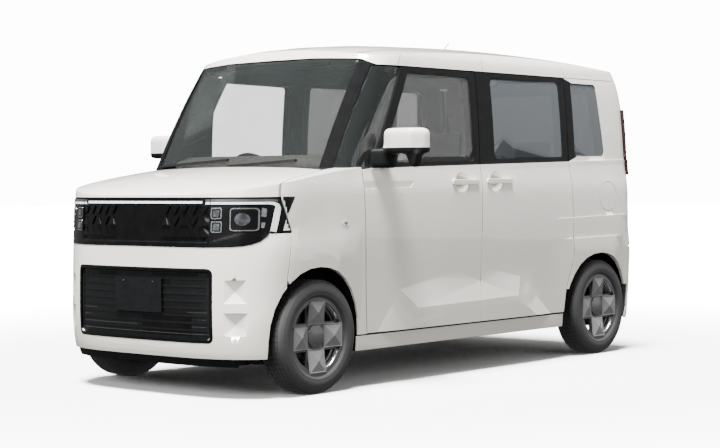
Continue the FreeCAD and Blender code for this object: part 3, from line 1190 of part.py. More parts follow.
# Front knuckles: hub spindle, brake disc and caliper on an upright that turns on two ball pins
KINGPIN_INBOARD = 50.0
SPINDLE_RADIUS = HUB_BORE - AXLE_FIT
DISC_RADIUS = 120.0
BRAKE_THICKNESS = 12.0
UPRIGHT_RADIUS = 22.0
PIN_RADIUS = 9.0
LOW_BALL_DROP = 140.0
TOP_BALL_RISE = 150.0
ARM_THICKNESS = 16.0
kingpin_x = HALF_TRACK - KINGPIN_INBOARD
spindle_start = kingpin_x
spindle_end = HALF_TRACK + DISC_FACE - DISC_THICKNESS - PIN_RADIUS / 3
spindle = disc_x(FRONT_AXLE_Y, AXLE_Z, SPINDLE_RADIUS, spindle_start, spindle_end)
brake_x = HALF_TRACK - BRAKE_THICKNESS - HUB_DEPTH / 4 - SKIN
brake = disc_x(FRONT_AXLE_Y, AXLE_Z, DISC_RADIUS, brake_x, brake_x + BRAKE_THICKNESS)
upright = rod(Vector(kingpin_x, FRONT_AXLE_Y, AXLE_Z - LOW_BALL_DROP + ARM_THICKNESS),
              Vector(kingpin_x, FRONT_AXLE_Y, AXLE_Z + TOP_BALL_RISE - ARM_THICKNESS), UPRIGHT_RADIUS)
pins = rod(Vector(kingpin_x, FRONT_AXLE_Y, AXLE_Z - LOW_BALL_DROP - ARM_THICKNESS / 2),
           Vector(kingpin_x, FRONT_AXLE_Y, AXLE_Z + TOP_BALL_RISE + ARM_THICKNESS / 2), PIN_RADIUS)
caliper = block(brake_x - BRAKE_THICKNESS * 1.5, brake_x + BRAKE_THICKNESS * 2,
                FRONT_AXLE_Y + DISC_RADIUS * 0.6,
                FRONT_AXLE_Y + DISC_RADIUS * 1.12, AXLE_Z - DISC_RADIUS * 0.45, AXLE_Z + DISC_RADIUS * 0.45)
steer_arm = block(kingpin_x - UPRIGHT_RADIUS, kingpin_x + UPRIGHT_RADIUS / 2, FRONT_AXLE_Y,
                  FRONT_AXLE_Y + DISC_RADIUS,
                  AXLE_Z - UPRIGHT_RADIUS * 2.5, AXLE_Z - UPRIGHT_RADIUS)
knuckle = main_solid(upright.fuse([spindle, brake, pins, caliper, steer_arm]))
save("front_knuckle_left", knuckle)
save("front_knuckle_right", mirrored(knuckle))

# Front suspension: struts, upper arms, lower arms and crossmember
STRUT_X = 538.0
STRUT_RADIUS = 19.0
SPRING_RADIUS = 52.0
SPRING_LOW = 585.0
STRUT_TOP = 860.0
CROSS_X = 300.0
CROSS_HALF_LENGTH = 150.0
CROSS_THICKNESS = 50.0
RAIL_HEIGHT = 80.0
ENGINE_LOW_SHARE = 0.1681
CROSS_LOW = 126.0
strut = rod(Vector(STRUT_X, FRONT_AXLE_Y, AXLE_Z + TOP_BALL_RISE - ARM_THICKNESS / 2),
            Vector(STRUT_X, FRONT_AXLE_Y, STRUT_TOP), STRUT_RADIUS)
spring = rod(Vector(STRUT_X, FRONT_AXLE_Y, SPRING_LOW), Vector(STRUT_X, FRONT_AXLE_Y, STRUT_TOP),
             SPRING_RADIUS)
top_arm = block(STRUT_X, kingpin_x + PIN_RADIUS * 1.7, FRONT_AXLE_Y - PIN_RADIUS * 1.6,
                FRONT_AXLE_Y + PIN_RADIUS * 1.6,
                AXLE_Z + TOP_BALL_RISE - ARM_THICKNESS / 2 + SEAM_FIT,
                AXLE_Z + TOP_BALL_RISE + ARM_THICKNESS / 2)
low_arm = prism([(kingpin_x + PIN_RADIUS * 1.8, FRONT_AXLE_Y - PIN_RADIUS * 2),
                 (kingpin_x + PIN_RADIUS * 1.8, FRONT_AXLE_Y + PIN_RADIUS * 2),
                 (STRUT_X, FRONT_AXLE_Y + PIN_RADIUS * 3), (CROSS_X, FRONT_AXLE_Y + CROSS_HALF_LENGTH * 1.3),
                 (CROSS_X, FRONT_AXLE_Y + CROSS_HALF_LENGTH), (STRUT_X - ARM_THICKNESS * 4, FRONT_AXLE_Y),
                 (CROSS_X, FRONT_AXLE_Y - CROSS_HALF_LENGTH / 2),
                 (CROSS_X, FRONT_AXLE_Y - CROSS_HALF_LENGTH * 0.8),
                 (STRUT_X, FRONT_AXLE_Y - PIN_RADIUS * 3)], "z", AXLE_Z - LOW_BALL_DROP - ARM_THICKNESS / 2,
                AXLE_Z - LOW_BALL_DROP + ARM_THICKNESS / 2)
pin_space = rod(Vector(kingpin_x, FRONT_AXLE_Y, -AXLE_Z), Vector(kingpin_x, FRONT_AXLE_Y, HEIGHT),
                PIN_RADIUS + AXLE_FIT)
arms = strut.fuse([spring, top_arm]).cut(pin_space)
arms = main_solid(arms)
low_arm = main_solid(low_arm.cut(pin_space))
crossmember = block(-CROSS_X, CROSS_X, FRONT_AXLE_Y - CROSS_HALF_LENGTH,
                    FRONT_AXLE_Y + CROSS_HALF_LENGTH * 1.4,
                    CROSS_LOW, CROSS_LOW + CROSS_THICKNESS)
posts = []
for side in (-1, 1):
    for near, far in ((-1, -0.6), (1, 1.4)):
        x0 = side * (CROSS_X + ARM_THICKNESS) - ARM_THICKNESS * 1.5
        posts.append(block(x0, x0 + ARM_THICKNESS * 3, FRONT_AXLE_Y + near * CROSS_HALF_LENGTH,
                           FRONT_AXLE_Y + far * CROSS_HALF_LENGTH,
                           CROSS_LOW, AXLE_Z + RAIL_HEIGHT))
    x0 = side * CROSS_X / 2 - ARM_THICKNESS * 2
    posts.append(block(x0, x0 + ARM_THICKNESS * 4, FRONT_AXLE_Y - CROSS_HALF_LENGTH / 2,
                       FRONT_AXLE_Y + CROSS_HALF_LENGTH / 2,
                       CROSS_LOW, height(ENGINE_LOW_SHARE)))
crossmember = crossmember.fuse(posts).cut(low_arm).cut(mirrored(low_arm))
front_parts = [arms, mirrored(arms), low_arm, mirrored(low_arm), main_solid(crossmember)]
save("front_suspension", Part.makeCompound(front_parts))

# Rear axle: twist beam with trailing arms, stub axles, drums and springs
BEAM_RADIUS = 32.0
BEAM_FORWARD = 150.0
ARM_X = 500.0
ARM_WIDTH = 44.0
ARM_FRONT_Y_SHARE = 0.8585
DRUM_RADIUS = 104.0
REAR_SPRING_RADIUS = 55.0
REAR_SPRING_X = 470.0
FLOOR_REAR_Z = 400.0
beam = rod(Vector(-ARM_X, REAR_AXLE_Y - BEAM_FORWARD, AXLE_Z - BEAM_RADIUS),
           Vector(ARM_X, REAR_AXLE_Y - BEAM_FORWARD, AXLE_Z - BEAM_RADIUS),
           BEAM_RADIUS)
rear_shapes = [beam]
for side in (-1, 1):
    x0 = side * ARM_X - ARM_WIDTH / 2
    rear_shapes.append(block(x0, x0 + ARM_WIDTH, station(ARM_FRONT_Y_SHARE), REAR_AXLE_Y + ARM_WIDTH,
                             AXLE_Z - BEAM_RADIUS * 1.4,
                             AXLE_Z - BEAM_RADIUS * 1.4 + ARM_WIDTH))
    stub_start = side * ARM_X
    stub_end = side * spindle_end
    rear_shapes.append(disc_x(REAR_AXLE_Y, AXLE_Z, SPINDLE_RADIUS, min(stub_start, stub_end),
                              max(stub_start, stub_end)))
    drum_x = side * (HALF_TRACK - HUB_DEPTH / 4 - SKIN)
    drum_in = side * (ARM_X + ARM_WIDTH * 1.6)
    rear_shapes.append(disc_x(REAR_AXLE_Y, AXLE_Z, DRUM_RADIUS, min(drum_x, drum_in), max(drum_x, drum_in)))
    rear_shapes.append(rod(Vector(side * REAR_SPRING_X, REAR_AXLE_Y - BEAM_FORWARD / 2,
                                  AXLE_Z - BEAM_RADIUS * 1.4),
                           Vector(side * REAR_SPRING_X, REAR_AXLE_Y - BEAM_FORWARD / 2, FLOOR_REAR_Z),
                           REAR_SPRING_RADIUS))
save("rear_axle", main_solid(rear_shapes[0].fuse(rear_shapes[1:])))

# Platform: floor, bulkhead, rails and cowl
FLOOR_Z = 205.0
FLOOR_THICKNESS = 18.0
RAIL_X = 330.0
RAIL_WIDTH = 60.0
floor_half = across(0.8678)
front_floor = block(-floor_half, floor_half, station(0.1210), station(0.8365), FLOOR_Z,
                    FLOOR_Z + FLOOR_THICKNESS)
step_half = across(0.8488)
step_up = block(-step_half, step_half, station(0.8285), station(0.8365), FLOOR_Z,
                FLOOR_REAR_Z + FLOOR_THICKNESS)
rear_half = HALF_TRACK - TYRE_WIDTH / 2 - SKIN * 4
rear_floor = block(-rear_half, rear_half, station(0.8285), station(1.8505), FLOOR_REAR_Z,
                   FLOOR_REAR_Z + FLOOR_THICKNESS)
bulkhead = block(-floor_half, floor_half, station(0.1110), station(0.1190), FLOOR_Z, height(0.5826))
bulkhead = bulkhead.fuse(block(-floor_half, floor_half, station(0.1110), station(0.1251), FLOOR_Z,
                               FLOOR_Z + FLOOR_THICKNESS))
platform_bits = [step_up, rear_floor, bulkhead]
for side in (-1, 1):
    x0 = side * RAIL_X - RAIL_WIDTH / 2
    platform_bits.append(block(x0, x0 + RAIL_WIDTH, station(-0.8109), station(0.1170), AXLE_Z + RAIL_HEIGHT,
                               AXLE_Z + 2 * RAIL_HEIGHT))
    platform_bits.append(block(x0, x0 + RAIL_WIDTH, station(0.1170), station(0.8345),
                               FLOOR_Z - RAIL_WIDTH / 2, FLOOR_Z))
    platform_bits.append(block(x0, x0 + RAIL_WIDTH, station(0.8285), station(1.8505),
                               FLOOR_REAR_Z - RAIL_WIDTH, FLOOR_REAR_Z))
platform_bits.append(block(-across(0.7593), across(0.7593), station(-0.8594), station(-0.8012),
                           AXLE_Z + RAIL_HEIGHT, AXLE_Z + 2 * RAIL_HEIGHT))
platform_bits.append(block(-across(0.7593), across(0.7593), station(-0.8109), station(-0.7527),
                           height(0.4930), height(0.5154)))
platform_bits.append(block(-across(0.7593), across(0.7593), bonnet_axis_y - BONNET_BARREL * 2,
                           station(0.1190), height(0.5630),
                           height(0.5770)))
platform = front_floor.fuse(platform_bits + cowl_pins)
cutters = [front_arch(LINER_START + LINER_WALL, FRONT_LINER_X, WIDE), body_frame, front_bumper, lower_grille]
for cutter in cutters:
    platform = platform.cut(cutter).cut(mirrored(cutter))
platform = main_solid(platform)
save("platform", platform)

# Engine and gearbox in one block, fuel tank, exhaust
engine = soft_prism([(station(-0.5781), height(ENGINE_LOW_SHARE)), (station(-0.5781), height(0.4818)),
                     (station(0.0890), height(0.5042)), (station(0.0890), height(ENGINE_LOW_SHARE))],
                    SKIN * 3, "x", -across(0.3661), across(0.3661))
save("engine", main_solid(engine))
tank = soft_prism([(-across(0.3932), station(0.3535)), (across(0.3932), station(0.3535)),
                   (across(0.3932), station(0.5739)),
                   (-across(0.3932), station(0.5739))], SKIN * 4, "z", FLOOR_Z - RAIL_WIDTH * 0.45, FLOOR_Z)
save("fuel_tank", main_solid(tank))
MUFFLER_RADIUS = 62.0
PIPE_RADIUS = 21.0
muffler = rod(Vector(-across(0.4068), station(1.5904), FLOOR_REAR_Z - RAIL_WIDTH * 2),
              Vector(across(0.2169), station(1.5904), FLOOR_REAR_Z - RAIL_WIDTH * 2),
              MUFFLER_RADIUS)
save("exhaust", muffler)

# Cabin
dash_outline = [(station(0.1210), height(0.3137)), (station(0.0729), height(0.6078)),
                (station(0.0890), height(0.6275)),
                (station(0.1691), height(0.6543)), (station(0.2172), height(0.6443)),
                (station(0.2293), height(0.5938)),
                (station(0.2172), height(0.5042)), (station(0.1691), height(0.3922)),
                (station(0.1291), height(0.3137))]
dash_block = prism(dash_outline, "x", 0, across(0.8814))
dashboard = dash_block.common(lower(DOOR_THICKNESS)).cut(over_belt(-BELT_LAP)).fuse(
    dash_block.common(upper(DOOR_THICKNESS + SEAM_FIT)).common(over_belt(-BELT_LAP)))
dashboard = whole(main_solid(dashboard.cut(body_frame).cut(front_pillar)))
dashboard = dashboard.cut(platform)

# Steering column through the dashboard
SEAT_CENTRE = 345.0
STEER_RADIUS = 182.0
STEER_TUBE = 15.0
COLUMN_RADIUS = 34.0
STEER_TILT = math.radians(62.0)
steer_centre = Vector(-SEAT_CENTRE, station(0.2774), height(0.5686))
steer_axis = Vector(0, math.sin(STEER_TILT), math.cos(STEER_TILT))
column = rod(steer_centre - steer_axis * (STEER_RADIUS * 0.45),
             steer_centre - steer_axis * (STEER_RADIUS * 1.5), COLUMN_RADIUS)
column_bore = rod(steer_centre, steer_centre - steer_axis * (STEER_RADIUS + STEER_TUBE + SKIN),
                  STEER_TUBE + AXLE_FIT)
dashboard = main_solid(dashboard.fuse(column).cut(column_bore))
save("dashboard", dashboard)

SEAT_RADIUS = 40.0


def seat(x0, x1, y_front, y_back, z_low, z_seat, z_top, rake, thickness):
    cushion = soft_prism([(y_front, z_low), (y_back, z_low), (y_back, z_seat - SEAT_RADIUS / 2),
                          (y_front, z_seat)], SEAT_RADIUS * 0.8, "x", x0, x1)
    back = soft_prism([(y_back - thickness, z_low + SEAT_RADIUS), (y_back, z_low), (y_back + rake, z_top),
                       (y_back + rake - thickness * 0.7, z_top)],
                      SEAT_RADIUS * 0.6, "x", x0, x1)
    return cushion.fuse(back)


SEAT_HALF = 250.0
HEADREST_HALF = 125.0
HEADREST_HEIGHT = 150.0
seat_back_y = station(0.5459)


def headrest(x, y, z):
    return soft_prism([(y, z), (y + SEAT_RADIUS * 2.2, z), (y + SEAT_RADIUS * 2.4, z + HEADREST_HEIGHT),
                       (y + SEAT_RADIUS * 0.8, z + HEADREST_HEIGHT)],
                      SEAT_RADIUS * 0.6, "x", x - HEADREST_HALF, x + HEADREST_HALF)


front_seat = seat(SEAT_CENTRE - SEAT_HALF, SEAT_CENTRE + SEAT_HALF, station(0.3415), seat_back_y,
                  FLOOR_Z + FLOOR_THICKNESS,
                  height(0.3473), height(0.6555), SEAT_RADIUS * 3, SEAT_RADIUS * 3)
front_seat = main_solid(front_seat.fuse(headrest(SEAT_CENTRE, seat_back_y + SEAT_RADIUS * 1.2,
                                                 height(0.6443))))
save("front_seats", both_sides(front_seat))
rear_back_y = station(0.9066)
rear_seat = seat(-across(0.8000), across(0.8000), station(0.6982), rear_back_y,
                 FLOOR_REAR_Z + FLOOR_THICKNESS, height(0.3585),
                 height(0.6331), SEAT_RADIUS * 2.5, SEAT_RADIUS * 3)
rear_well = rear_arch(LINER_START + LINER_WALL + SEAM_FIT, REAR_LINER_X - SKIN, WIDE)
rear_seat = rear_seat.cut(platform).cut(rear_well).cut(mirrored(rear_well))
rests = [headrest(side * SEAT_CENTRE, rear_back_y + SEAT_RADIUS, height(0.6218)) for side in (-1, 1)]
save("rear_seat", main_solid(rear_seat.fuse(rests)))

# Steering wheel and column
rim_ring = Part.makeTorus(STEER_RADIUS, STEER_TUBE, Vector(0, 0, 0), Vector(0, 0, 1))
hub_pad = Part.makeCylinder(STEER_RADIUS * 0.36, STEER_TUBE * 2.4, Vector(0, 0, -STEER_TUBE * 1.6),
                            Vector(0, 0, 1))
spokes = block(-STEER_RADIUS, STEER_RADIUS, -STEER_TUBE * 1.2, STEER_TUBE * 1.2, -STEER_TUBE * 0.7,
               STEER_TUBE * 0.5)
lower_spoke = block(-STEER_TUBE * 1.2, STEER_TUBE * 1.2, -STEER_RADIUS, 0, -STEER_TUBE * 0.7,
                    STEER_TUBE * 0.5)
shaft = Part.makeCylinder(STEER_TUBE, STEER_RADIUS, Vector(0, 0, -STEER_RADIUS - STEER_TUBE), Vector(0, 0, 1))
wheel = main_solid(rim_ring.fuse([hub_pad, spokes, lower_spoke, shaft]))
wheel.rotate(Vector(0, 0, 0), Vector(1, 0, 0), -math.degrees(STEER_TILT))
wheel.translate(steer_centre)
save("steering_wheel", wheel)

# Wipers lying on the foot of the windscreen
WIPER_HEIGHT = 10.0
WIPER_SHARES = (
    ((-0.7593, 0.6207), (-0.0407, 0.6375), (-0.0407, 0.6443), (-0.7593, 0.6275)),
    ((-0.0271, 0.6185), (0.5966, 0.6331), (0.5966, 0.6398), (-0.0271, 0.6252)),
)
windscreen_band = whole(upper(-WIPER_HEIGHT)).cut(whole(upper(GLASS_INSET)))
wipers = []
for shares in WIPER_SHARES:
    strip = prism([(across(x), height(z)) for x, z in shares], "y", -LENGTH, station(0.1531))
    wipers.append(main_solid(windscreen_band.common(strip).cut(cowl_panel)))
save("wipers", Part.makeCompound(wipers))

# Roof aerial
AERIAL_RADIUS = 3.0
AERIAL_LENGTH = 95.0
AERIAL_FOOT = 13.0
aerial_y = station(0.7639)
aerial_z = HEIGHT * profile_at(ROOF_SHARES, aerial_y)
aerial = rod(Vector(0, aerial_y, aerial_z - AERIAL_RADIUS), Vector(0, aerial_y,
                                                                   aerial_z + AERIAL_RADIUS * 3), AERIAL_FOOT)
aerial = aerial.fuse(rod(Vector(0, aerial_y, aerial_z), Vector(0, aerial_y + AERIAL_LENGTH * 0.75,
    aerial_z + AERIAL_LENGTH * 0.7), AERIAL_RADIUS))
save("roof_aerial", main_solid(aerial.cut(roof_panel)))

# Arch liners
LINER_LOW_SHARE = 0.1120
space = block(0, WIDE, -LENGTH, LENGTH, height(LINER_LOW_SHARE), HEIGHT)
front_liner = front_arch(LINER_START + LINER_WALL, FRONT_LINER_X,
                         WIDE).cut(front_arch(LINER_START, FRONT_LINER_X + LINER_WALL, WIDE))
front_liner = front_liner.common(space).common(lower(SKIN)).cut(rod(Vector(STRUT_X, FRONT_AXLE_Y, 0),
                                                                    Vector(STRUT_X, FRONT_AXLE_Y, HEIGHT),
                                                                     SPRING_RADIUS + SKIN / 2))
rear_liner = rear_arch(LINER_START + LINER_WALL, REAR_LINER_X,
                       WIDE).cut(rear_arch(LINER_START, REAR_LINER_X, WIDE))
rear_liner = rear_liner.common(space).common(lower(RING_START))
front_liner = front_liner.cut(low_arm).cut(body_frame).cut(sill_cover).cut(platform)
rear_liner = rear_liner.cut(sliding_door).cut(body_frame).cut(sill_cover)
liners = [main_solid(front_liner), main_solid(rear_liner)]
save("arch_liners", Part.makeCompound(liners + [mirrored(s) for s in liners]))
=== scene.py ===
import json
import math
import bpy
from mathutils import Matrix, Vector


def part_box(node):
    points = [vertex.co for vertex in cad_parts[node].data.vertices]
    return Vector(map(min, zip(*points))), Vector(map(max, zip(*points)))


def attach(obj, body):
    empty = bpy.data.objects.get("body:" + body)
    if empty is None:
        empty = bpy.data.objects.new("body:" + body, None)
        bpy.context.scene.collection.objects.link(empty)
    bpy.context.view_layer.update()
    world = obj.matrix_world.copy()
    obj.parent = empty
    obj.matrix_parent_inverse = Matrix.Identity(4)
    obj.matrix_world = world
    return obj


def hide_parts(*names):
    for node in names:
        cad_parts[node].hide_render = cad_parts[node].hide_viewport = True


bl_info = {
    "name": "Small tall car",
    "version": (1, 0, 0),
    "blender": (4, 5, 0),
    "location": "View3D > Sidebar > Car",
    "description": "Paint, glass, lamps, wheels and cabin trim for a small tall car",
    "category": "Object",
}

import bmesh
import bpy
import numpy as np
from mathutils import Matrix, Vector
from mathutils.bvhtree import BVHTree

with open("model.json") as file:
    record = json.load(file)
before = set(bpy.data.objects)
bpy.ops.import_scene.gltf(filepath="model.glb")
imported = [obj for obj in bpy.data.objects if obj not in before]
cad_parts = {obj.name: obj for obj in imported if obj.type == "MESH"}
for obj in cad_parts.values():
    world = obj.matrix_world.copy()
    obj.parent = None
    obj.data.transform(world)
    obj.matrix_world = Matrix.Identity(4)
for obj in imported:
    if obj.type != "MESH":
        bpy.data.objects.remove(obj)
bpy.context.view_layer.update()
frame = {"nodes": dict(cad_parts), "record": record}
NODE_BODY = {
    node: body
    for body, nodes in frame["record"]["behaviour"]["bodies"].items()
    for node in nodes
}
BODY = NODE_BODY["platform"]
SIDES = ((1, "left"), (-1, "right"))


# Small helpers


def linear(colour):
    """Linear RGBA from an sRGB hex string."""
    parts = [int(colour[i : i + 2], 16) / 255 for i in (0, 2, 4)]
    parts = [p / 12.92 if p <= 0.04045 else ((p + 0.055) / 1.055) ** 2.4 for p in parts]
    return (*parts, 1.0)


def put(tree, kind, settings=None, links=None):
    """Adds one node. Settings are its properties; links are its inputs, each a value or a socket."""
    made = tree.nodes.new(kind)
    for name, value in (settings or {}).items():
        setattr(made, name, value)
    for name, value in (links or {}).items():
        if isinstance(value, bpy.types.NodeSocket):
            tree.links.new(value, made.inputs[name])
        else:
            made.inputs[name].default_value = value
    return made


def finish_material(name, values):
    """A new node material whose shader sockets hold the given constants."""
    material = bpy.data.materials.new(name)
    material.use_nodes = True
    shader = material.node_tree.nodes["Principled BSDF"]
    for socket, value in values.items():
        shader.inputs[socket].default_value = value
    return material, material.node_tree, shader


# Places on the noise, from 0 to 1, where a drifting colour is wholly dark and wholly light
DRIFT_ENDS = (0.35, 0.65)


def mottled(tree, shader, dark, light, size_mm):
    """Base colour that drifts between two hex colours over the given size."""
    place = put(tree, "ShaderNodeTexCoord")
    noise = put(tree, "ShaderNodeTexNoise", None, {
        "Vector": place.outputs["Object"], "Scale": 1000 / size_mm, "Detail": 2.0})
    ramp = put(tree, "ShaderNodeValToRGB", None, {"Fac": noise.outputs["Fac"]})
    for element, at, colour in zip(ramp.color_ramp.elements, DRIFT_ENDS, (dark, light)):
        element.position = at
        element.color = linear(colour)
    tree.links.new(ramp.outputs["Color"], shader.inputs["Base Color"])
    return place


def uneven_gloss(tree, shader, place, size_mm, smooth, rough):
    """Roughness that varies a little over the given size."""
    noise = put(tree, "ShaderNodeTexNoise", None, {
        "Vector": place.outputs["Object"], "Scale": 1000 / size_mm, "Detail": 3.0})
    span = put(tree, "ShaderNodeMapRange", None, {
        "Value": noise.outputs["Fac"], "To Min": smooth, "To Max": rough})
    tree.links.new(span.outputs["Result"], shader.inputs["Roughness"])


def raised(tree, shader, height, depth, strength):
    """Relief from a height socket, with its depth in metres."""
    bump = put(tree, "ShaderNodeBump", None, {"Height": height, "Distance": depth, "Strength": strength})
    tree.links.new(bump.outputs["Normal"], shader.inputs["Normal"])


def grain(tree, shader, place, size_mm, depth_mm, strength, kind="ShaderNodeTexNoise"):
    """Fine relief of the given grain size and depth."""
    output = "Distance" if kind == "ShaderNodeTexVoronoi" else "Fac"
    relief = put(tree, kind, None, {"Vector": place.outputs["Object"], "Scale": 1000 / size_mm})
    raised(tree, shader, relief.outputs[output], depth_mm / 1000, strength)


# Finishes


PLAIN_MATERIALS = {
    # Baked pearl enamel under clear lacquer: warm white with a soft drift and a sharp gloss
    "pearl_enamel": {
        "shader": {"Metallic": 0.0, "IOR": 1.5, "Coat Weight": 1.0, "Coat Roughness": 0.03, "Coat IOR": 1.5},
        "colour": ("E5DFD5", "E9E4DA", 420), "gloss": (90, 0.30, 0.36)},
    # Satin black film on steel: dark with a wide soft highlight
    "satin_black_film": {
        "shader": {"IOR": 1.5, "Specular IOR Level": 0.15},
        "colour": ("09090A", "0E0F10", 60), "gloss": (25, 0.5, 0.62), "grain": (1.6, 0.02, 0.3)},
    # Polished moulded ABS: near black with a sharp reflection
    "gloss_black_abs": {
        "shader": {"IOR": 1.5, "Specular IOR Level": 0.2, "Coat Weight": 0.08, "Coat Roughness": 0.05},
        "colour": ("040405", "080809", 80), "gloss": (30, 0.2, 0.3)},
    # Unpainted moulded polypropylene: charcoal with a leather-like grain that scatters light.
    # Real grain is about 1 mm; drawn at 3 mm so that it shows
    "grained_black_plastic": {
        "shader": {"IOR": 1.49, "Specular IOR Level": 0.15},
        "colour": ("08090A", "0D0E0F", 30), "gloss": (8, 0.5, 0.68),
        "grain": (3.0, 0.12, 0.6, "ShaderNodeTexVoronoi")},
    # Vulcanised rubber: near black and matt, with a fine grain
    "tyre_rubber": {
        "shader": {"IOR": 1.52, "Specular IOR Level": 0.1},
        "colour": ("050506", "0A0A0B", 35), "gloss": (12, 0.85, 1.0), "grain": (1.2, 0.05, 0.4)},
    # Dark metallic paint on moulded wheel covers
    "wheel_cover_paint": {
        "shader": {"Metallic": 0.55, "Coat Weight": 0.4, "Coat Roughness": 0.15},
        "colour": ("4B4B4D", "59595B", 6), "gloss": (4, 0.38, 0.5)},
    # The paint of the spokes' facets: paler metallic grey
    "spoke_paint": {
        "shader": {"Metallic": 0.35, "Coat Weight": 0.3, "Coat Roughness": 0.2},
        "colour": ("707071", "7C7C7D", 6), "gloss": (4, 0.4, 0.52)},
    # Machined aluminium: bright, with highlights drawn out as by turning
    "bright_aluminium": {
        "shader": {"Metallic": 1.0, "Anisotropic": 0.4},
        "colour": ("B9BBBE", "CDCFD2", 20), "gloss": (3, 0.2, 0.34)},
    # Turned cast iron of the discs: grey with a fine grain
    "brake_steel": {
        "shader": {"Metallic": 0.9, "Anisotropic": 0.5},
        "colour": ("5C5D60", "77787A", 15), "gloss": (4, 0.34, 0.5), "grain": (1.5, 0.03, 0.5)},
    # Chassis black: dipped steel with an uneven matt skin
    "black_steel": {
        "shader": {"Metallic": 0.2},
        "colour": ("101112", "1B1C1D", 45), "gloss": (20, 0.5, 0.75), "grain": (5.0, 0.15, 0.5)},
    # Sand-cast aluminium of the engine block: pale grey, rough grain
    "cast_aluminium": {
        "shader": {"Metallic": 0.8},
        "colour": ("6A6C6E", "8B8D8F", 25), "gloss": (10, 0.45, 0.65), "grain": (3.0, 0.2, 0.6)},
    # Slush-moulded dashboard skin: warm grey with a fine grain
    "soft_dash_skin": {
        "shader": {"IOR": 1.47},
        "colour": ("57554F", "66635D", 40), "gloss": (10, 0.5, 0.65),
        "grain": (2.5, 0.1, 0.5, "ShaderNodeTexVoronoi")},
    # Vacuum-metallised plastic behind the lamp lens
    "silver_reflector": {
        "shader": {"Metallic": 1.0},
        "colour": ("C9CCCF", "E6E8EA", 30), "gloss": (8, 0.12, 0.22)},
    # Thin grey lines on the mouth's ribs, lightly metallic: their pale grey is a painted highlight along the
    # ribs
    "rib_highlight_grey": {
        "shader": {"Metallic": 0.3},
        "colour": ("3A3B3C", "47484A", 30), "gloss": (12, 0.35, 0.5)},
    # Metallised bowl seen through the projector's lens: grey in the middle of a clear coat
    "lamp_bowl": {
        "shader": {"Metallic": 0.6, "Coat Weight": 1.0, "Coat Roughness": 0.0},
        "colour": ("3A3D40", "6A6E72", 35), "gloss": (14, 0.08, 0.3)},
    # Frosted light guide, unlit: grey with a soft sheen
    "lamp_veil": {
        "shader": {"Metallic": 0.2, "Coat Weight": 0.4},
        "colour": ("3A3C3E", "47494B", 25), "gloss": (9, 0.25, 0.4)},
    # Opal acrylic light guide: white under a clear skin
    "light_guide": {
        "shader": {"IOR": 1.49, "Coat Weight": 0.6, "Coat Roughness": 0.05},
        "colour": ("DDE1E3", "F1F3F4", 40), "gloss": (15, 0.2, 0.35)},
    # Flat black tape on the window posts: hardly any shine
    "flat_black_trim": {
        "shader": {"Specular IOR Level": 0.08},
        "colour": ("060607", "0B0B0C", 70), "gloss": (20, 0.82, 0.95)},
    # Painted bulb behind the repeater's lens: dark amber
    "repeater_amber": {
        "shader": {"Coat Weight": 0.5},
        "colour": ("5E3A34", "73473F", 6), "gloss": (4, 0.2, 0.35)},
    # First-surface mirror glass
    "mirror_silver": {
        "shader": {"Metallic": 1.0},
        "colour": ("DDE0E2", "E6E9EA", 200), "gloss": (60, 0.02, 0.04)},
    # Pressed aluminium plate with a white coat, blank
    "coated_plate": {
        "shader": {"Coat Weight": 0.3, "Coat Roughness": 0.2},
        "colour": ("E7E7E3", "F0F0EC", 50), "gloss": (12, 0.35, 0.45)},
    # Printed silver heater lines on the rear glass: thin and brown-grey
    "demister_wire": {
        "shader": {"Metallic": 0.3},
        "colour": ("3B3330", "4A403C", 40), "gloss": (20, 0.4, 0.6)},
    # Smooth moulded panel behind the lower mouth: charcoal with a soft gloss
    "charcoal_panel": {
        "shader": {"IOR": 1.5, "Specular IOR Level": 0.3},
        "colour": ("060607", "0A0B0C", 160), "gloss": (45, 0.3, 0.42)},
    # Black rubber in the gaps between panels: matt
    "shut_line_rubber": {
        "shader": {"Specular IOR Level": 0.1},
        "colour": ("1E1D1C", "2A2928", 40), "gloss": (15, 0.75, 0.95)},
}


def plain_material(name):
    """A material from its row: shader values, two colours and the mm over which they drift, the mm and the
    ends of the roughness, and the grain's mm, depth in mm, strength and kind."""
    row = PLAIN_MATERIALS[name]
    material, tree, shader = finish_material(name, row["shader"])
    place = mottled(tree, shader, *row["colour"])
    uneven_gloss(tree, shader, place, *row["gloss"])
    if "grain" in row:
        grain(tree, shader, place, *row["grain"])
    return material


def tinted_glass(name, transmission, alpha, tint, tint_light):
    """Glass of which the alpha stops a share of the light and the rest goes straight through."""
    material, tree, shader = finish_material(name, {
        "IOR": 1.5, "Transmission Weight": transmission, "Roughness": 0.0, "Alpha": alpha})
    mottled(tree, shader, tint, tint_light, 500)
    return material


def green_tint_glass():
    # Laminated float glass: clear with a grey-green cast and a hard surface reflection. Part of
    # the light goes straight through, so the cabin behind it is lit
    tints = bpy.context.scene.car_finishes
    return tinted_glass("green_tint_glass", 0.3, 0.42, tints.clear_tint, tints.clear_tint_light)


def privacy_glass():
    # Body-tinted privacy glass: dark grey that lets a little light through
    tints = bpy.context.scene.car_finishes
    return tinted_glass("privacy_glass", 0.1, 0.95, tints.dark_tint, tints.dark_tint_light)


def lamp_lens():
    # Clear moulded polycarbonate with a hard coat
    material, tree, shader = finish_material("lamp_lens", {
        "IOR": 1.45, "Transmission Weight": 1.0, "Roughness": 0.0})
    mottled(tree, shader, "EDEFF0", "FAFBFB", 200)
    return material


def ribs(tree, place, direction, pitch_mm):
    """Even waves of the given pitch. A wave texture of scale 1 has 20 to the metre."""
    return put(tree, "ShaderNodeTexWave", {"bands_direction": direction}, {
        "Vector": place.outputs["Object"], "Scale": 1000 / (20 * pitch_mm)})


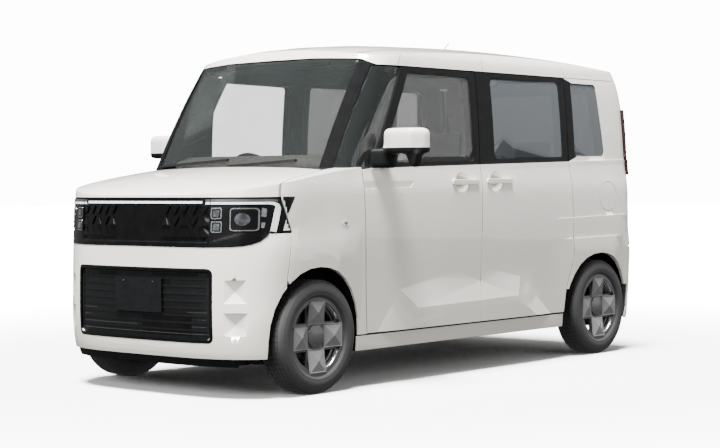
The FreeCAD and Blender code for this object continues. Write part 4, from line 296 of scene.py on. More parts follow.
def red_lens():
    # Smoked red acrylic, moulded with fine ribs inside: nearly black until light strikes it
    material, tree, shader = finish_material("red_lens", {
        "IOR": 1.49, "Transmission Weight": 0.1, "Roughness": 0.08, "Specular IOR Level": 0.35})
    place = mottled(tree, shader, "1B0507", "2C090D", 60)
    raised(tree, shader, ribs(tree, place, "Z", 6.0).outputs["Fac"], 0.0008, 0.6)
    return material


def seat_fabric():
    # Woven seat cloth: greige threads about 1 mm apart, drawn at 3 mm so that the weave shows
    material, tree, shader = finish_material("seat_fabric", {"Sheen Weight": 0.35, "Sheen Roughness": 0.45})
    place = mottled(tree, shader, "4A4846", "5B5855", 9)
    uneven_gloss(tree, shader, place, 6, 0.75, 0.95)
    warp, weft = (ribs(tree, place, direction, 3.0) for direction in ("X", "Z"))
    both = put(tree, "ShaderNodeMath", {"operation": "MULTIPLY"}, {
        0: warp.outputs["Fac"], 1: weft.outputs["Fac"]})
    raised(tree, shader, both.outputs[0], 0.0006, 0.8)
    return material


def floor_paper():
    # Matt studio paper
    material, tree, shader = finish_material("floor_paper", {"Specular IOR Level": 0.1})
    place = mottled(tree, shader, "F4F4F3", "F9F9F8", 900)
    uneven_gloss(tree, shader, place, 200, 0.9, 1.0)
    # Painted light: the paper glows, more and more away from the car, where it meets the white wall; near the
    # car it does not glow
    length = put(tree, "ShaderNodeVectorMath", {"operation": "LENGTH"}, {0: place.outputs["Object"]})
    painted_glow = put(tree, "ShaderNodeMapRange", {"interpolation_type": "SMOOTHSTEP"}, {
        "Value": length.outputs["Value"], "From Min": 1.9, "From Max": 7.0, "To Min": 0.0, "To Max": 11.0})
    shader.inputs["Emission Color"].default_value = (1, 1, 1, 1)
    tree.links.new(painted_glow.outputs["Result"], shader.inputs["Emission Strength"])
    return material


WORKED_FINISHES = {f.__name__: f for f in (
    green_tint_glass, privacy_glass, lamp_lens, red_lens, seat_fabric, floor_paper)}


def finish(name):
    """The named material, made once."""
    found = bpy.data.materials.get(name)
    if found is None:
        found = WORKED_FINISHES[name]() if name in WORKED_FINISHES else plain_material(name)
    return found


# Pieces made from the frame


def add_to_scene(name, data):
    """An object in the scene that holds the given mesh, light or camera."""
    obj = bpy.data.objects.new(name, data)
    bpy.context.scene.collection.objects.link(obj)
    return obj


def merged_copy(*nodes):
    """The nodes' own surfaces as one bmesh with shared corners."""
    bm = bmesh.new()
    for node in nodes:
        bm.from_mesh(frame["nodes"][node].data)
    bmesh.ops.remove_doubles(bm, verts=bm.verts, dist=2e-5)
    return bm


def piece_from(bm, name, body, materials, angle=30.0, bevel_mm=0.0):
    """A shown piece from a bmesh, smooth up to the given angle, riding on its body."""
    mesh = bpy.data.meshes.new(name)
    for material in materials:
        mesh.materials.append(finish(material))
    bm.to_mesh(mesh)
    bm.free()
    obj = add_to_scene(name, mesh)
    if bevel_mm:
        bevel = obj.modifiers.new("Edge", "BEVEL")
        bevel.width = bevel_mm / 1000
        bevel.segments = 2
        bevel.limit_method = "ANGLE"
        bevel.angle_limit = math.radians(40)
        bevel.harden_normals = False
        bevel.use_clamp_overlap = True
        apply_modifiers(obj)
    smooth_up_to(obj, angle)
    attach(obj, body)
    return obj


def smooth_up_to(obj, angle):
    """Smooth shading with folds steeper than the angle, in degrees, left sharp."""
    obj.data.polygons.foreach_set("use_smooth", [True] * len(obj.data.polygons))
    obj.data.set_sharp_from_angle(angle=math.radians(angle))


def apply_modifiers(obj):
    """Puts the evaluated mesh in place of the base mesh, with no modifier left."""
    bpy.context.view_layer.update()
    graph = bpy.context.evaluated_depsgraph_get()
    done = bpy.data.meshes.new_from_object(obj.evaluated_get(graph))
    obj.modifiers.clear()
    obj.data = done


def softened(obj, voxel_mm, rounds, rule):
    """Rounds the edges of a closed piece and gives its faces their finishes by the rule."""
    kept = list(obj.data.materials)
    grid = obj.modifiers.new("Grid", "REMESH")
    grid.mode = "VOXEL"
    grid.voxel_size = voxel_mm / 1000
    soft = obj.modifiers.new("Soft", "SMOOTH")
    soft.iterations = rounds
    apply_modifiers(obj)
    obj.data.materials.clear()
    for material in kept:
        obj.data.materials.append(material)
    for polygon in obj.data.polygons:
        polygon.material_index = rule(polygon.center, polygon.normal)
        polygon.use_smooth = True


def split_by(bm, rule):
    """Material numbers of the faces from a rule of centre and normal."""
    bm.normal_update()
    for face in bm.faces:
        face.material_index = rule(face.calc_center_median(), face.normal)


def dress(name, nodes, materials, rule=None, angle=30.0):
    """A shown piece from whole nodes, which it replaces."""
    bm = merged_copy(*nodes)
    if rule is not None:
        split_by(bm, rule)
    obj = piece_from(bm, name, NODE_BODY[nodes[0]], materials, angle)
    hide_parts(*nodes)
    return obj


AXES = {"x": 0, "y": 1, "z": 2}


class Skin:
    """The outer surface of some nodes, met by straight lines along one axis."""

    def __init__(self, axis, sign, *nodes):
        self.axis = AXES[axis]
        self.sign = sign
        self.others = [i for i in range(3) if i != self.axis]
        bm = merged_copy(*nodes)
        self.tree = BVHTree.FromBMesh(bm)
        bm.free()

    def meet(self, a, b, lift=0.0):
        """Point over (a, b), the other two coordinates in order, lifted along the normal, and that normal.
        Both are None where the line misses."""
        start = Vector((0, 0, 0))
        start[self.others[0]] = a
        start[self.others[1]] = b
        start[self.axis] = 4.0 * self.sign
        push = Vector((0, 0, 0))
        push[self.axis] = -self.sign
        point, normal, _, _ = self.tree.ray_cast(start, push)
        if point is None:
            return None, None
        if normal.dot(push) > 0:
            normal = -normal
        return point + normal * lift, normal


def rounded(points, radius, steps=4):
    """Closed outline with its corners rounded."""
    done = []
    count = len(points)
    for i in range(count):
        here = Vector(points[i])
        before = Vector(points[i - 1]) - here
        after = Vector(points[(i + 1) % count]) - here
        reach = min(radius, before.length * 0.45, after.length * 0.45)
        start = here + before.normalized() * reach
        end = here + after.normalized() * reach
        for k in range(steps + 1):
            t = k / steps
            done.append(tuple(start * (1 - t) ** 2 + here * (2 * t * (1 - t)) + end * t * t))
    return done


def oval(a, b, half_a, half_b, steps=28):
    """Closed outline round the point (a, b)."""
    turns = [2 * math.pi * i / steps for i in range(steps)]
    return [(a + half_a * math.cos(turn), b + half_b * math.sin(turn)) for turn in turns]


def on_side(sign, points):
    """Points whose first coordinate is X, on the left for sign 1 and on the right for sign -1."""
    return [(sign * x, other) for x, other in points]


def laid_on(skin, outline, proud_mm, sunk_mm=1.0, cell_mm=25.0):
    """A bmesh plate over the skin, cut into cells so that it follows the surface."""
    bm = bmesh.new()
    corners = [bm.verts.new((a, b, 0)) for a, b in outline]
    bm.faces.new(corners)
    cell = cell_mm / 1000
    for k in range(2):
        low = min(p[k] for p in outline)
        high = max(p[k] for p in outline)
        line = Vector((0, 0, 0))
        line[k] = 1
        for i in range(1, int((high - low) / cell) + 1):
            place = Vector((0, 0, 0))
            place[k] = low + i * cell
            if place[k] < high - 1e-5:
                bmesh.ops.bisect_plane(bm, geom=bm.verts[:] + bm.edges[:] + bm.faces[:], plane_co=place,
                                       plane_no=line, dist=1e-6)
    rim = bmesh.ops.extrude_edge_only(bm, edges=[e for e in bm.edges if e.is_boundary])["geom"]
    low_ring = {v for v in rim if isinstance(v, bmesh.types.BMVert)}
    lost = []
    for vert in bm.verts:
        lift = -sunk_mm / 1000 if vert in low_ring else proud_mm / 1000
        point, _ = skin.meet(vert.co.x, vert.co.y, lift)
        if point is None:
            lost.append(vert)
        else:
            vert.co = point
    bmesh.ops.delete(bm, geom=lost, context="VERTS")
    bmesh.ops.recalc_face_normals(bm, faces=bm.faces[:])
    push = Vector((0, 0, 0))
    push[skin.axis] = skin.sign
    if sum((f.normal.dot(push) * f.calc_area() for f in bm.faces), 0.0) < 0:
        bmesh.ops.reverse_faces(bm, faces=bm.faces[:])
    return bm


def ribbon(skin, path, widths_mm, lift_mm, thick_mm=1.0, step_mm=18.0):
    """A closed strip along a path over the skin. A negative lift puts it under the surface."""
    if not isinstance(widths_mm, (list, tuple)):
        widths_mm = [widths_mm] * len(path)
    fine = []
    for i in range(len(path) - 1):
        start, end = Vector(path[i]), Vector(path[i + 1])
        count = max(1, int((end - start).length * 1000 / step_mm))
        for k in range(count):
            t = k / count
            fine.append((start.lerp(end, t), widths_mm[i] + (widths_mm[i + 1] - widths_mm[i]) * t))
    fine.append((Vector(path[-1]), widths_mm[-1]))
    bm = bmesh.new()
    rows = []
    for i, (here, width) in enumerate(fine):
        along = (fine[min(i + 1, len(fine) - 1)][0] - fine[max(i - 1, 0)][0]).normalized()
        side = Vector((-along.y, along.x)) * width / 2000
        row = []
        for place in (here - side, here + side):
            top, normal = skin.meet(place.x, place.y, lift_mm / 1000)
            if top is not None:
                row.append((top, top - normal * thick_mm / 1000))
        if len(row) == 2:
            (a, low_a), (b, low_b) = row
            rows.append([bm.verts.new(point) for point in (a, b, low_b, low_a)])
    for before, after in zip(rows, rows[1:]):
        for j in range(4):
            k = (j + 1) % 4
            bm.faces.new((before[j], before[k], after[k], after[j]))
    if rows:
        bm.faces.new(rows[0])
        bm.faces.new(rows[-1][::-1])
    bmesh.ops.recalc_face_normals(bm, faces=bm.faces[:])
    return bm


def slab_of(rows, back):
    """A closed plate from a grid of points, as thick as the vector back."""
    bm = bmesh.new()
    front = [[bm.verts.new(point) for point in row] for row in rows]
    rear = [[bm.verts.new(Vector(point) + Vector(back)) for point in row] for row in rows]
    for grid in (front, rear):
        for i in range(len(rows) - 1):
            for j in range(len(rows[0]) - 1):
                bm.faces.new((grid[i][j], grid[i][j + 1], grid[i + 1][j + 1], grid[i + 1][j]))
    last_row, last = len(rows) - 1, len(rows[0]) - 1
    edge = [(0, j) for j in range(last + 1)] + [(i, last) for i in range(1, last_row + 1)]
    edge += [(last_row, j) for j in range(last - 1, -1, -1)] + [(i, 0) for i in range(last_row - 1, 0, -1)]
    for (i, j), (k, m) in zip(edge, edge[1:] + edge[:1]):
        bm.faces.new((front[i][j], front[k][m], rear[k][m], rear[i][j]))
    bmesh.ops.recalc_face_normals(bm, faces=bm.faces[:])
    return bm


def repeat_tree():
    """Node tree that repeats its input along a step and about the X axis, then joins the copies."""
    tree = bpy.data.node_groups.new("repeat_piece", "GeometryNodeTree")
    for name, kind in (("Geometry", "Geometry"), ("Count", "Int"), ("Centre", "Vector"),
                       ("Step", "Vector"), ("Turn", "Float"), ("Material", "Material")):
        tree.interface.new_socket(name=name, in_out="INPUT", socket_type="NodeSocket" + kind)
    tree.interface.new_socket(name="Geometry", in_out="OUTPUT", socket_type="NodeSocketGeometry")
    entry = put(tree, "NodeGroupInput")
    line = put(tree, "GeometryNodeMeshLine", {"mode": "OFFSET"}, {
        "Count": entry.outputs["Count"], "Start Location": entry.outputs["Centre"],
        "Offset": entry.outputs["Step"]})
    index = put(tree, "GeometryNodeInputIndex")
    turn = put(tree, "ShaderNodeMath", {"operation": "MULTIPLY"}, {
        0: index.outputs[0], 1: entry.outputs["Turn"]})
    euler = put(tree, "ShaderNodeCombineXYZ", None, {"X": turn.outputs[0]})
    rotation = put(tree, "FunctionNodeEulerToRotation", None, {"Euler": euler.outputs[0]})
    copies = put(tree, "GeometryNodeInstanceOnPoints", None, {
        "Points": line.outputs[0], "Instance": entry.outputs["Geometry"], "Rotation": rotation.outputs[0]})
    real = put(tree, "GeometryNodeRealizeInstances", None, {"Geometry": copies.outputs[0]})
    dressed = put(tree, "GeometryNodeSetMaterial", None, {
        "Geometry": real.outputs[0], "Material": entry.outputs["Material"]})
    put(tree, "NodeGroupOutput", None, {"Geometry": dressed.outputs[0]})
    return tree


def repeated(seed, name, body, material, count, step=(0, 0, 0), turn=0.0, centre=(0, 0, 0), angle=30.0):
    """A piece made of copies of the seed bmesh by Geometry Nodes, as one plain mesh on its body."""
    mesh = bpy.data.meshes.new(name)
    seed.to_mesh(mesh)
    seed.free()
    obj = add_to_scene(name, mesh)
    tree = bpy.data.node_groups.get("repeat_piece") or repeat_tree()
    modifier = obj.modifiers.new("Repeat", "NODES")
    modifier.node_group = tree
    socket = {item.name: item.identifier for item in tree.interface.items_tree if item.in_out == "INPUT"}
    modifier[socket["Count"]] = count
    modifier[socket["Centre"]] = centre
    modifier[socket["Step"]] = step
    modifier[socket["Turn"]] = turn
    modifier[socket["Material"]] = finish(material)
    apply_modifiers(obj)
    if not obj.data.materials:
        obj.data.materials.append(finish(material))
    smooth_up_to(obj, angle)
    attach(obj, body)
    return obj


def joined(parts):
    """One bmesh from several."""
    whole = bmesh.new()
    for bm in parts:
        mesh = bpy.data.meshes.new("part")
        bm.to_mesh(mesh)
        bm.free()
        whole.from_mesh(mesh)
        bpy.data.meshes.remove(mesh)
    return whole


def cuboid(low, high):
    """A box between two corners."""
    bm = bmesh.new()
    bmesh.ops.create_cube(bm, size=1.0)
    for vert in bm.verts:
        vert.co = Vector([low[i] if vert.co[i] < 0 else high[i] for i in range(3)])
    return bm


def ring(centre, axis_x, profile, steps):
    """Turned shape round a line along X. The profile is a closed loop of (place along X, radius)."""
    bm = bmesh.new()
    rows = []
    for i in range(steps):
        turn = 2 * math.pi * i / steps
        rows.append([bm.verts.new((centre[0] + axis_x * a, centre[1] + r * math.cos(turn),
                                   centre[2] + r * math.sin(turn))) for a, r in profile])
    for i in range(steps):
        here, after = rows[i], rows[(i + 1) % steps]
        for j in range(len(profile) - 1):
            bm.faces.new((here[j], here[j + 1], after[j + 1], after[j]))
    bmesh.ops.remove_doubles(bm, verts=bm.verts, dist=1e-5)
    bmesh.ops.recalc_face_normals(bm, faces=bm.faces[:])
    return bm


def cylinder_x(radius, length, steps):
    """A capped cylinder along X with its middle at the origin."""
    bm = bmesh.new()
    turns = [2 * math.pi * i / steps for i in range(steps)]
    rows = [[bm.verts.new((x, radius * math.cos(turn), radius * math.sin(turn))) for turn in turns]
            for x in (-length / 2, length / 2)]
    for i in range(steps):
        k = (i + 1) % steps
        bm.faces.new((rows[0][i], rows[0][k], rows[1][k], rows[1][i]))
    bm.faces.new(rows[0])
    bm.faces.new(rows[1][::-1])
    bmesh.ops.recalc_face_normals(bm, faces=bm.faces[:])
    return bm


def screw_head(radius, length, steps):
    """A round head whose axis points along the car, with its middle at the origin."""
    head = cylinder_x(radius, length, steps)
    bmesh.ops.transform(head, matrix=Matrix.Rotation(math.radians(90), 4, "Z"), verts=head.verts[:])
    return head


# Belt line between the painted lower body and the windows
BELT_FRONT_Z = 0.6006 * 1.785
BELT_REAR_Z = 0.6457 * 1.785
CAR_LENGTH = 3.395


# Wall of doors and quarters that faces the cabin lies nearer to the middle than this
DOOR_TRIM_X = 0.68
QUARTER_TRIM_X = 0.71
# Black window post of the quarter panel ends here
QUARTER_POST_Y = 1.07
# The mirror's pearl cap starts outside the arm and above the lower edge
MIRROR_ARM_X = 0.757
MIRROR_CAP_Z = 1.196


def belt(y):
    """Height of the belt line at the given place along the car."""
    return BELT_FRONT_Z + (BELT_REAR_Z - BELT_FRONT_Z) * (y + CAR_LENGTH / 2) / CAR_LENGTH


def faces_cabin(centre, normal, limit_x):
    """True where a face within the limit points at the car's middle."""
    return normal.x * centre.x < 0 and abs(normal.x) > 0.7 and abs(centre.x) < limit_x


def door_rule(centre, normal):
    """Pearl under the belt, black over it, and trim on the side that faces the cabin."""
    if faces_cabin(centre, normal, DOOR_TRIM_X):
        return 2
    return 0 if centre.z < belt(centre.y) + 0.0005 else 1


def quarter_rule(centre, normal):
    """Black on the window post, pearl elsewhere, and trim on the side that faces the cabin."""
    if faces_cabin(centre, normal, QUARTER_TRIM_X):
        return 2
    return 1 if centre.y < QUARTER_POST_Y and centre.z > belt(centre.y) else 0


def mirror_rule(centre, normal):
    """Black arm, underside and glass side; pearl cap."""
    if abs(centre.x) < MIRROR_ARM_X or normal.z < -0.3 or centre.z < MIRROR_CAP_Z or normal.y > 0.9:
        return 1
    return 0


# Settings that a user would change


class CarFinishes(bpy.types.PropertyGroup):
    clear_tint: bpy.props.StringProperty(
        name="Clear glass tint", default="262A29", description="sRGB hex colour of the front glass")
    clear_tint_light: bpy.props.StringProperty(
        name="Clear glass tint, light", default="2C302F",
        description="sRGB hex colour of the front glass where it is palest")
    dark_tint: bpy.props.StringProperty(
        name="Privacy glass tint", default="0F1111", description="sRGB hex colour of the rear glass")
    dark_tint_light: bpy.props.StringProperty(
        name="Privacy glass tint, light", default="151717",
        description="sRGB hex colour of the rear glass where it is palest")


class CarSizes(bpy.types.PropertyGroup):
    crease_angle: bpy.props.FloatProperty(
        name="Crease angle", description="Folds steeper than this stay sharp, in degrees",
        default=3.5, min=1.0, max=60.0)
    floor_size: bpy.props.FloatProperty(
        name="Floor size", description="Side of the studio floor",
        default=120.0, min=20.0, subtype="DISTANCE", unit="LENGTH")


# Operators


# Corners of a door mirror's glass as (X, Z)
MIRROR_GLASS = ((0.800, 1.178), (0.968, 1.178), (0.968, 1.284), (0.800, 1.284))
# Each panel of plain pearl enamel, and the node it comes from
PAINTED_NODES = {
    "fender_panels": "front_fenders",
    "bonnet_panel": "bonnet",
    "roof_skin": "roof_panel",
    "bumper_skins": "bumpers",
    "sill_skins": "sill_covers",
    "tailgate_skin": "tailgate",
    "fuel_lid_skin": "fuel_lid",
}


class CAR_OT_paint_panels(bpy.types.Operator):
    """Painted panels: doors, fenders, quarters, bumpers, bonnet, roof and tailgate"""

    bl_idname = "car.paint_panels"
    bl_label = "Paint the panels"

    def execute(self, context):
        door_finishes = ["pearl_enamel", "satin_black_film", "soft_dash_skin"]
        crease = context.scene.car_sizes.crease_angle
        for sign, side in SIDES:
            dress("front_door_panel_" + side, ["front_door_" + side], door_finishes, door_rule, crease)
            cap = dress("door_mirror_cap_" + side, ["door_mirror_" + side],
                        ["pearl_enamel", "grained_black_plastic"])
            softened(cap, 4.5, 70, mirror_rule)
            face = Skin("y", 1, "door_mirror_" + side)
            glass = laid_on(face, rounded(on_side(sign, MIRROR_GLASS), 0.018), 1.2)
            piece_from(glass, "mirror_glass_" + side, NODE_BODY["door_mirror_" + side], ["mirror_silver"])
        dress("sliding_door_panels", ["sliding_doors"], door_finishes, door_rule, crease)
        for name, node in PAINTED_NODES.items():
            dress(name, [node], ["pearl_enamel"], angle=crease)
        dress("quarter_panels", ["rear_quarter_panels"], door_finishes, quarter_rule, crease)
        return {"FINISHED"}


class CAR_OT_glaze(bpy.types.Operator):
    """Window glass: clear in front, privacy glass behind"""

    bl_idname = "car.glaze"
    bl_label = "Glaze the windows"

    def execute(self, context):
        for node in ("windscreen", "front_quarter_glass", "front_door_glass_left", "front_door_glass_right"):
            dress(node + "_pane", [node], ["green_tint_glass"], angle=40)
        for node in ("rear_side_glass", "tailgate_glass"):
            dress(node + "_pane", [node], ["privacy_glass"], angle=40)
        return {"FINISHED"}


PLAIN_FINISHES = {
    "arch_liners": "grained_black_plastic",
    "body_side_frames": "satin_black_film",
    "cowl_panel": "grained_black_plastic",
    "dashboard": "soft_dash_skin",
    "engine": "cast_aluminium",
    "exhaust": "brake_steel",
    "front_knuckle_left": "brake_steel",
    "front_knuckle_right": "brake_steel",
    "front_pillars": "flat_black_trim",
    "front_suspension": "black_steel",
    "fuel_tank": "black_steel",
    "headlamps": "gloss_black_abs",
    "number_plate_front": "grained_black_plastic",
    "platform": "black_steel",
    "rear_axle": "black_steel",
    "roof_aerial": "grained_black_plastic",
    "steering_wheel": "grained_black_plastic",
    "tail_lamps": "red_lens",
    "wipers": "grained_black_plastic",
}


class CAR_OT_plain_parts(bpy.types.Operator):
    """Parts whose solids are shown as they are, smoothed and given their finish"""

    bl_idname = "car.plain_parts"
    bl_label = "Finish the plain parts"

    def execute(self, context):
        for node, material in PLAIN_FINISHES.items():
            dress(node + "_part", [node], [material])
        return {"FINISHED"}


# Gaps between the side panels as (Y, Z) paths, each with a dark seal under the surface
SIDE_GAPS = {
    "door_front": ((-0.849, 1.085), (-0.847, 1.02), (-0.843, 0.94), (-0.834, 0.75), (-0.825, 0.56),
                   (-0.807, 0.272)),
    "door_rear": ((0.140, 1.112), (0.141, 0.9), (0.142, 0.6), (0.143, 0.272)),
    "sliding_rear": ((1.003, 1.128), (1.014, 0.98), (1.024, 0.833), (1.022, 0.575), (0.990, 0.488),
                     (0.962, 0.402)),
    "door_lower": ((-0.80, 0.2635), (0.94, 0.2635)),
}
BONNET_EDGE = ((0.648, -1.08), (0.672, -1.2), (0.686, -1.34))
# Width, lift and thickness of a seal in mm. The lift is negative, so it lies under the surface
SEAL = (14.0, -3.0, 1.5)
# Joints across the roof rail, as Y at the lower and at the upper end
ROOF_JOINTS = ((-0.504, -0.452), (0.2296, 0.2326), (1.0257, 1.0077))
# Ditch along the roof's edge as (X, Y, width in mm)
ROOF_DITCH = ((0.524, -0.690, 11.0), (0.5378, -0.660, 10.0), (0.546, -0.56, 8.0), (0.5485, -0.4745, 6.0),
              (0.563, -0.28, 5.0), (0.5802, -0.0779, 4.0), (0.598, 0.234, 4.0), (0.604, 0.7194, 4.0),
              (0.606, 1.067, 4.0), (0.606, 1.33, 4.0))


class CAR_OT_seams(bpy.types.Operator):
    """Dark seals in the gaps between panels, and the strips in the joints of the roof"""

    bl_idname = "car.seams"
    bl_label = "Seal the gaps"

    def execute(self, context):
        panels = ["front_fenders", "front_door_left", "front_door_right", "sliding_doors",
                  "rear_quarter_panels", "sill_covers", "bumpers"]
        seals, joints = [], []
        deck = Skin("z", 1, "roof_panel")
        ditch_widths = [width for _, _, width in ROOF_DITCH]
        for sign, _ in SIDES:
            wall = Skin("x", sign, *panels)
            for path in SIDE_GAPS.values():
                seals.append(ribbon(wall, path, *SEAL))
            rail = Skin("x", sign, "roof_panel", "body_side_frames")
            for y_low, y_high in ROOF_JOINTS:
                path = [(y_low, 1.628), ((y_low + y_high) / 2, 1.662), (y_high, 1.694)]
                joints.append(ribbon(rail, path, 2.6, 0.3, 0.6, 6.0))
            ditch = [(sign * x, y) for x, y, _ in ROOF_DITCH]
            joints.append(ribbon(deck, ditch, ditch_widths, 0.8, 1.5, 25.0))
        lid = Skin("z", 1, "bonnet", "front_fenders")
        for sign, _ in SIDES:
            seals.append(ribbon(lid, on_side(sign, BONNET_EDGE), *SEAL))
        piece_from(joined(seals), "panel_gap_seals", BODY, ["shut_line_rubber"])
        piece_from(joined(joints), "roof_joint_strips", BODY, ["shut_line_rubber"])
        return {"FINISHED"}


# Number of faces half way round a pad and up it
PAD_AROUND, PAD_UP = 28, 24
# Powers that turn a round pad into a square one with flat sides and a flat crown
PAD_SQUARE, PAD_SIDE, PAD_CROWN = 0.32, 0.45, 0.75
# How far the sides pull in between the corners, and how far the crown falls off to the edges
PAD_WAIST = 0.05
PAD_FULLNESS = 0.72
# Sewn channels: depth as a share of half the height, and width as a share of their distance
CHANNEL_DEPTH, CHANNEL_WIDTH = 0.10, 0.07
SEAT_X = 0.345


def pad_corner(u, v, channels):
    """Place on a pad from its two angles, each coordinate as a share of half the size."""
    cu, su, cv, sv = math.cos(u), math.sin(u), math.cos(v), math.sin(v)
    x = math.copysign(abs(cu) ** PAD_SQUARE, cu) * abs(cv) ** PAD_SIDE
    y = math.copysign(abs(su) ** PAD_SQUARE, su) * abs(cv) ** PAD_SIDE
    z = math.copysign(abs(sv) ** PAD_CROWN, sv)
    pull = 1 - PAD_WAIST * (1 - min(abs(x), abs(y)) ** 2)
    groove = 0.0
    if channels and z > 0.2:
        t = (x + 1) * 0.5 * (channels + 1)
        if 0 < round(t) < channels + 1:
            groove = CHANNEL_DEPTH * math.exp(-(abs(t - round(t)) / CHANNEL_WIDTH) ** 2)
    crown = PAD_FULLNESS + (1 - PAD_FULLNESS) * (1 - x * x) * (1 - y * y)
    return x, y, pull, z * crown - groove


def cushion(name, centre, size, lean_deg, channels=0):
    """A crowned pad: its sides pull in between the corners, and sewn channels run along it."""
    half_x, half_y, half_z = (v / 2 for v in size)
    bm = bmesh.new()
    rows = []
    for j in range(1, PAD_UP):
        row = []
        for i in range(PAD_AROUND * 2):
            x, y, pull, z = pad_corner(math.pi * i / PAD_AROUND, math.pi * (j / PAD_UP - 0.5), channels)
            row.append(bm.verts.new((x * half_x * pull, y * half_y * pull, z * half_z)))
        rows.append(row)
    count = len(rows[0])
    for j in range(len(rows) - 1):
        for i in range(count):
            k = (i + 1) % count
            bm.faces.new((rows[j][i], rows[j][k], rows[j + 1][k], rows[j + 1][i]))
    for row, up in ((rows[0], False), (rows[-1], True)):
        height = sum(v.co.z for v in row) / count + (0.004 if up else -0.004)
        pole = bm.verts.new((0, 0, height))
        for i in range(count):
            k = (i + 1) % count
            bm.faces.new((row[i], row[k], pole) if up else (row[k], row[i], pole))
    bmesh.ops.recalc_face_normals(bm, faces=bm.faces[:])
    turn = Matrix.Translation(centre) @ Matrix.Rotation(math.radians(lean_deg), 4, "X")
    bmesh.ops.transform(bm, matrix=turn, verts=bm.verts[:])
    obj = piece_from(bm, name, BODY, ["seat_fabric"], angle=60)
    return obj


class CAR_OT_seats(bpy.types.Operator):
    """Cushions, backs and head restraints with their frames"""

    bl_idname = "car.seats"
    bl_label = "Upholster the seats"

    def execute(self, context):
        pads = []
        for sign, side in SIDES:
            x = sign * SEAT_X
            pads.append(cushion("front_seat_cushion_" + side, (x, -0.075, 0.545), (0.50, 0.52, 0.16), -3, 3))
            pads.append(cushion("front_seat_back_" + side, (x, 0.175, 0.885), (0.50, 0.60, 0.15), 78, 3))
            pads.append(cushion("front_head_rest_" + side, (x, 0.288, 1.225), (0.25, 0.15, 0.10), 84))
        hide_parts("front_seats")
        pads = [
            cushion("rear_seat_cushion", (0, 0.815, 0.57), (1.10, 0.52, 0.15), -2, 5),
            cushion("rear_seat_back", (0, 1.085, 0.87), (1.10, 0.53, 0.14), 79, 5),
        ]
        for sign, side in SIDES:
            place = (sign * SEAT_X, 1.17, 1.185)
            pads.append(cushion("rear_head_rest_" + side, place, (0.25, 0.15, 0.10), 84))
        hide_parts("rear_seat")
        frames = []
        for sign, _ in SIDES:
            x = sign * SEAT_X
            frames.append(cuboid((x - 0.22, -0.30, 0.224), (x + 0.22, 0.17, 0.47)))
            for off in (-0.05, 0.05):
                frames.append(cuboid((x + off - 0.006, 0.268, 1.08), (x + off + 0.006, 0.280, 1.20)))
                frames.append(cuboid((x + off - 0.006, 1.150, 1.06), (x + off + 0.006, 1.162, 1.16)))
        frames.append(cuboid((-0.53, 0.60, 0.44), (0.53, 1.05, 0.50)))
        piece_from(joined(frames), "seat_frames", BODY, ["grained_black_plastic"], bevel_mm=4.0)
        return {"FINISHED"}


# Front lamps: outlines are (X, Z) in metres on the lamp's face, and (Y, Z) round the corner
LAMP_SQUARES = ((0.489, 0.8815), (0.4905, 0.8172))
SQUARE_HALF = 0.027
PROJECTOR = ((0.552, 0.798), (0.6625, 0.798), (0.6635, 0.907), (0.552, 0.907))
# Each fin beside the projector and the radius of its corners
LAMP_FINS = ((((0.667, 0.866), (0.680, 0.862), (0.682, 0.902), (0.668, 0.908)), 0.004),
             (((0.667, 0.812), (0.675, 0.812), (0.678, 0.838), (0.667, 0.838)), 0.003))
STRIP_Z = 0.9335
# Light strip round the lamp's corner as (Y, Z, width in mm), and the veil over it
STRIP_BEND = ((-1.513, 0.929, 10), (-1.49, 0.929, 11), (-1.468, 0.927, 14), (-1.452, 0.919, 20),
              (-1.447, 0.905, 27), (-1.452, 0.88, 29), (-1.462, 0.835, 28), (-1.473, 0.79, 27))
VEIL_Z = 0.9415
VEIL_END = ((-1.513, 0.9415), (-1.48, 0.9415), (-1.447, 0.9405))
# Plates that correct the lamp's rear edge: black on the fender above, painted on the lamp below
LAMP_CORNER = ((-1.441, 0.9585), (-1.350, 0.9585), (-1.398, 0.870))
FENDER_POINT = ((-1.424, 0.7885), (-1.371, 0.7885), (-1.3975, 0.868))
# Middle of the turn-signal repeater as (Y, Z)
REPEATER = (-0.989, 0.824)
# Lower edge of the black panel across the nose
PANEL_LOW_EDGE = ((0.0, 0.7213), (0.25, 0.7205), (0.426, 0.7199), (0.561, 0.7223), (0.61, 0.7265),
                  (0.637, 0.7327), (0.6565, 0.7415), (0.669, 0.750), (0.679, 0.763), (0.6876, 0.779))

# Mouth in the bumper: half width, heights and corner radius of the black panel, in metres
MOUTH_HALF = 0.4765
MOUTH_Z = (0.2650, 0.6200)
MOUTH_CORNER = 0.034
# Painted shade of recesses in that panel: dark plates laid just in front of it, as (X low, X high, Z low, Z
# high)
MOUTH_RECESS_SHADES = ((-0.445, -0.40, 0.545, 0.590), (-0.315, -0.165, 0.572, 0.594), (0.165, 0.215, 0.535, 0.575),
                  (0.09, 0.39, 0.582, 0.595), (0.015, 0.35, 0.290, 0.405))
# Distance between the two screws of a number plate
PLATE_HOLES = 0.21


def framed(outline, inset):
    """The outline drawn towards its middle by the inset."""
    middle = Vector((sum(x for x, _ in outline), sum(z for _, z in outline))) / len(outline)
    done = []
    for point in outline:
        away = Vector(point) - middle
        done.append(tuple(middle + Vector([math.copysign(max(abs(v) - inset, 0), v) for v in away])))
    return done


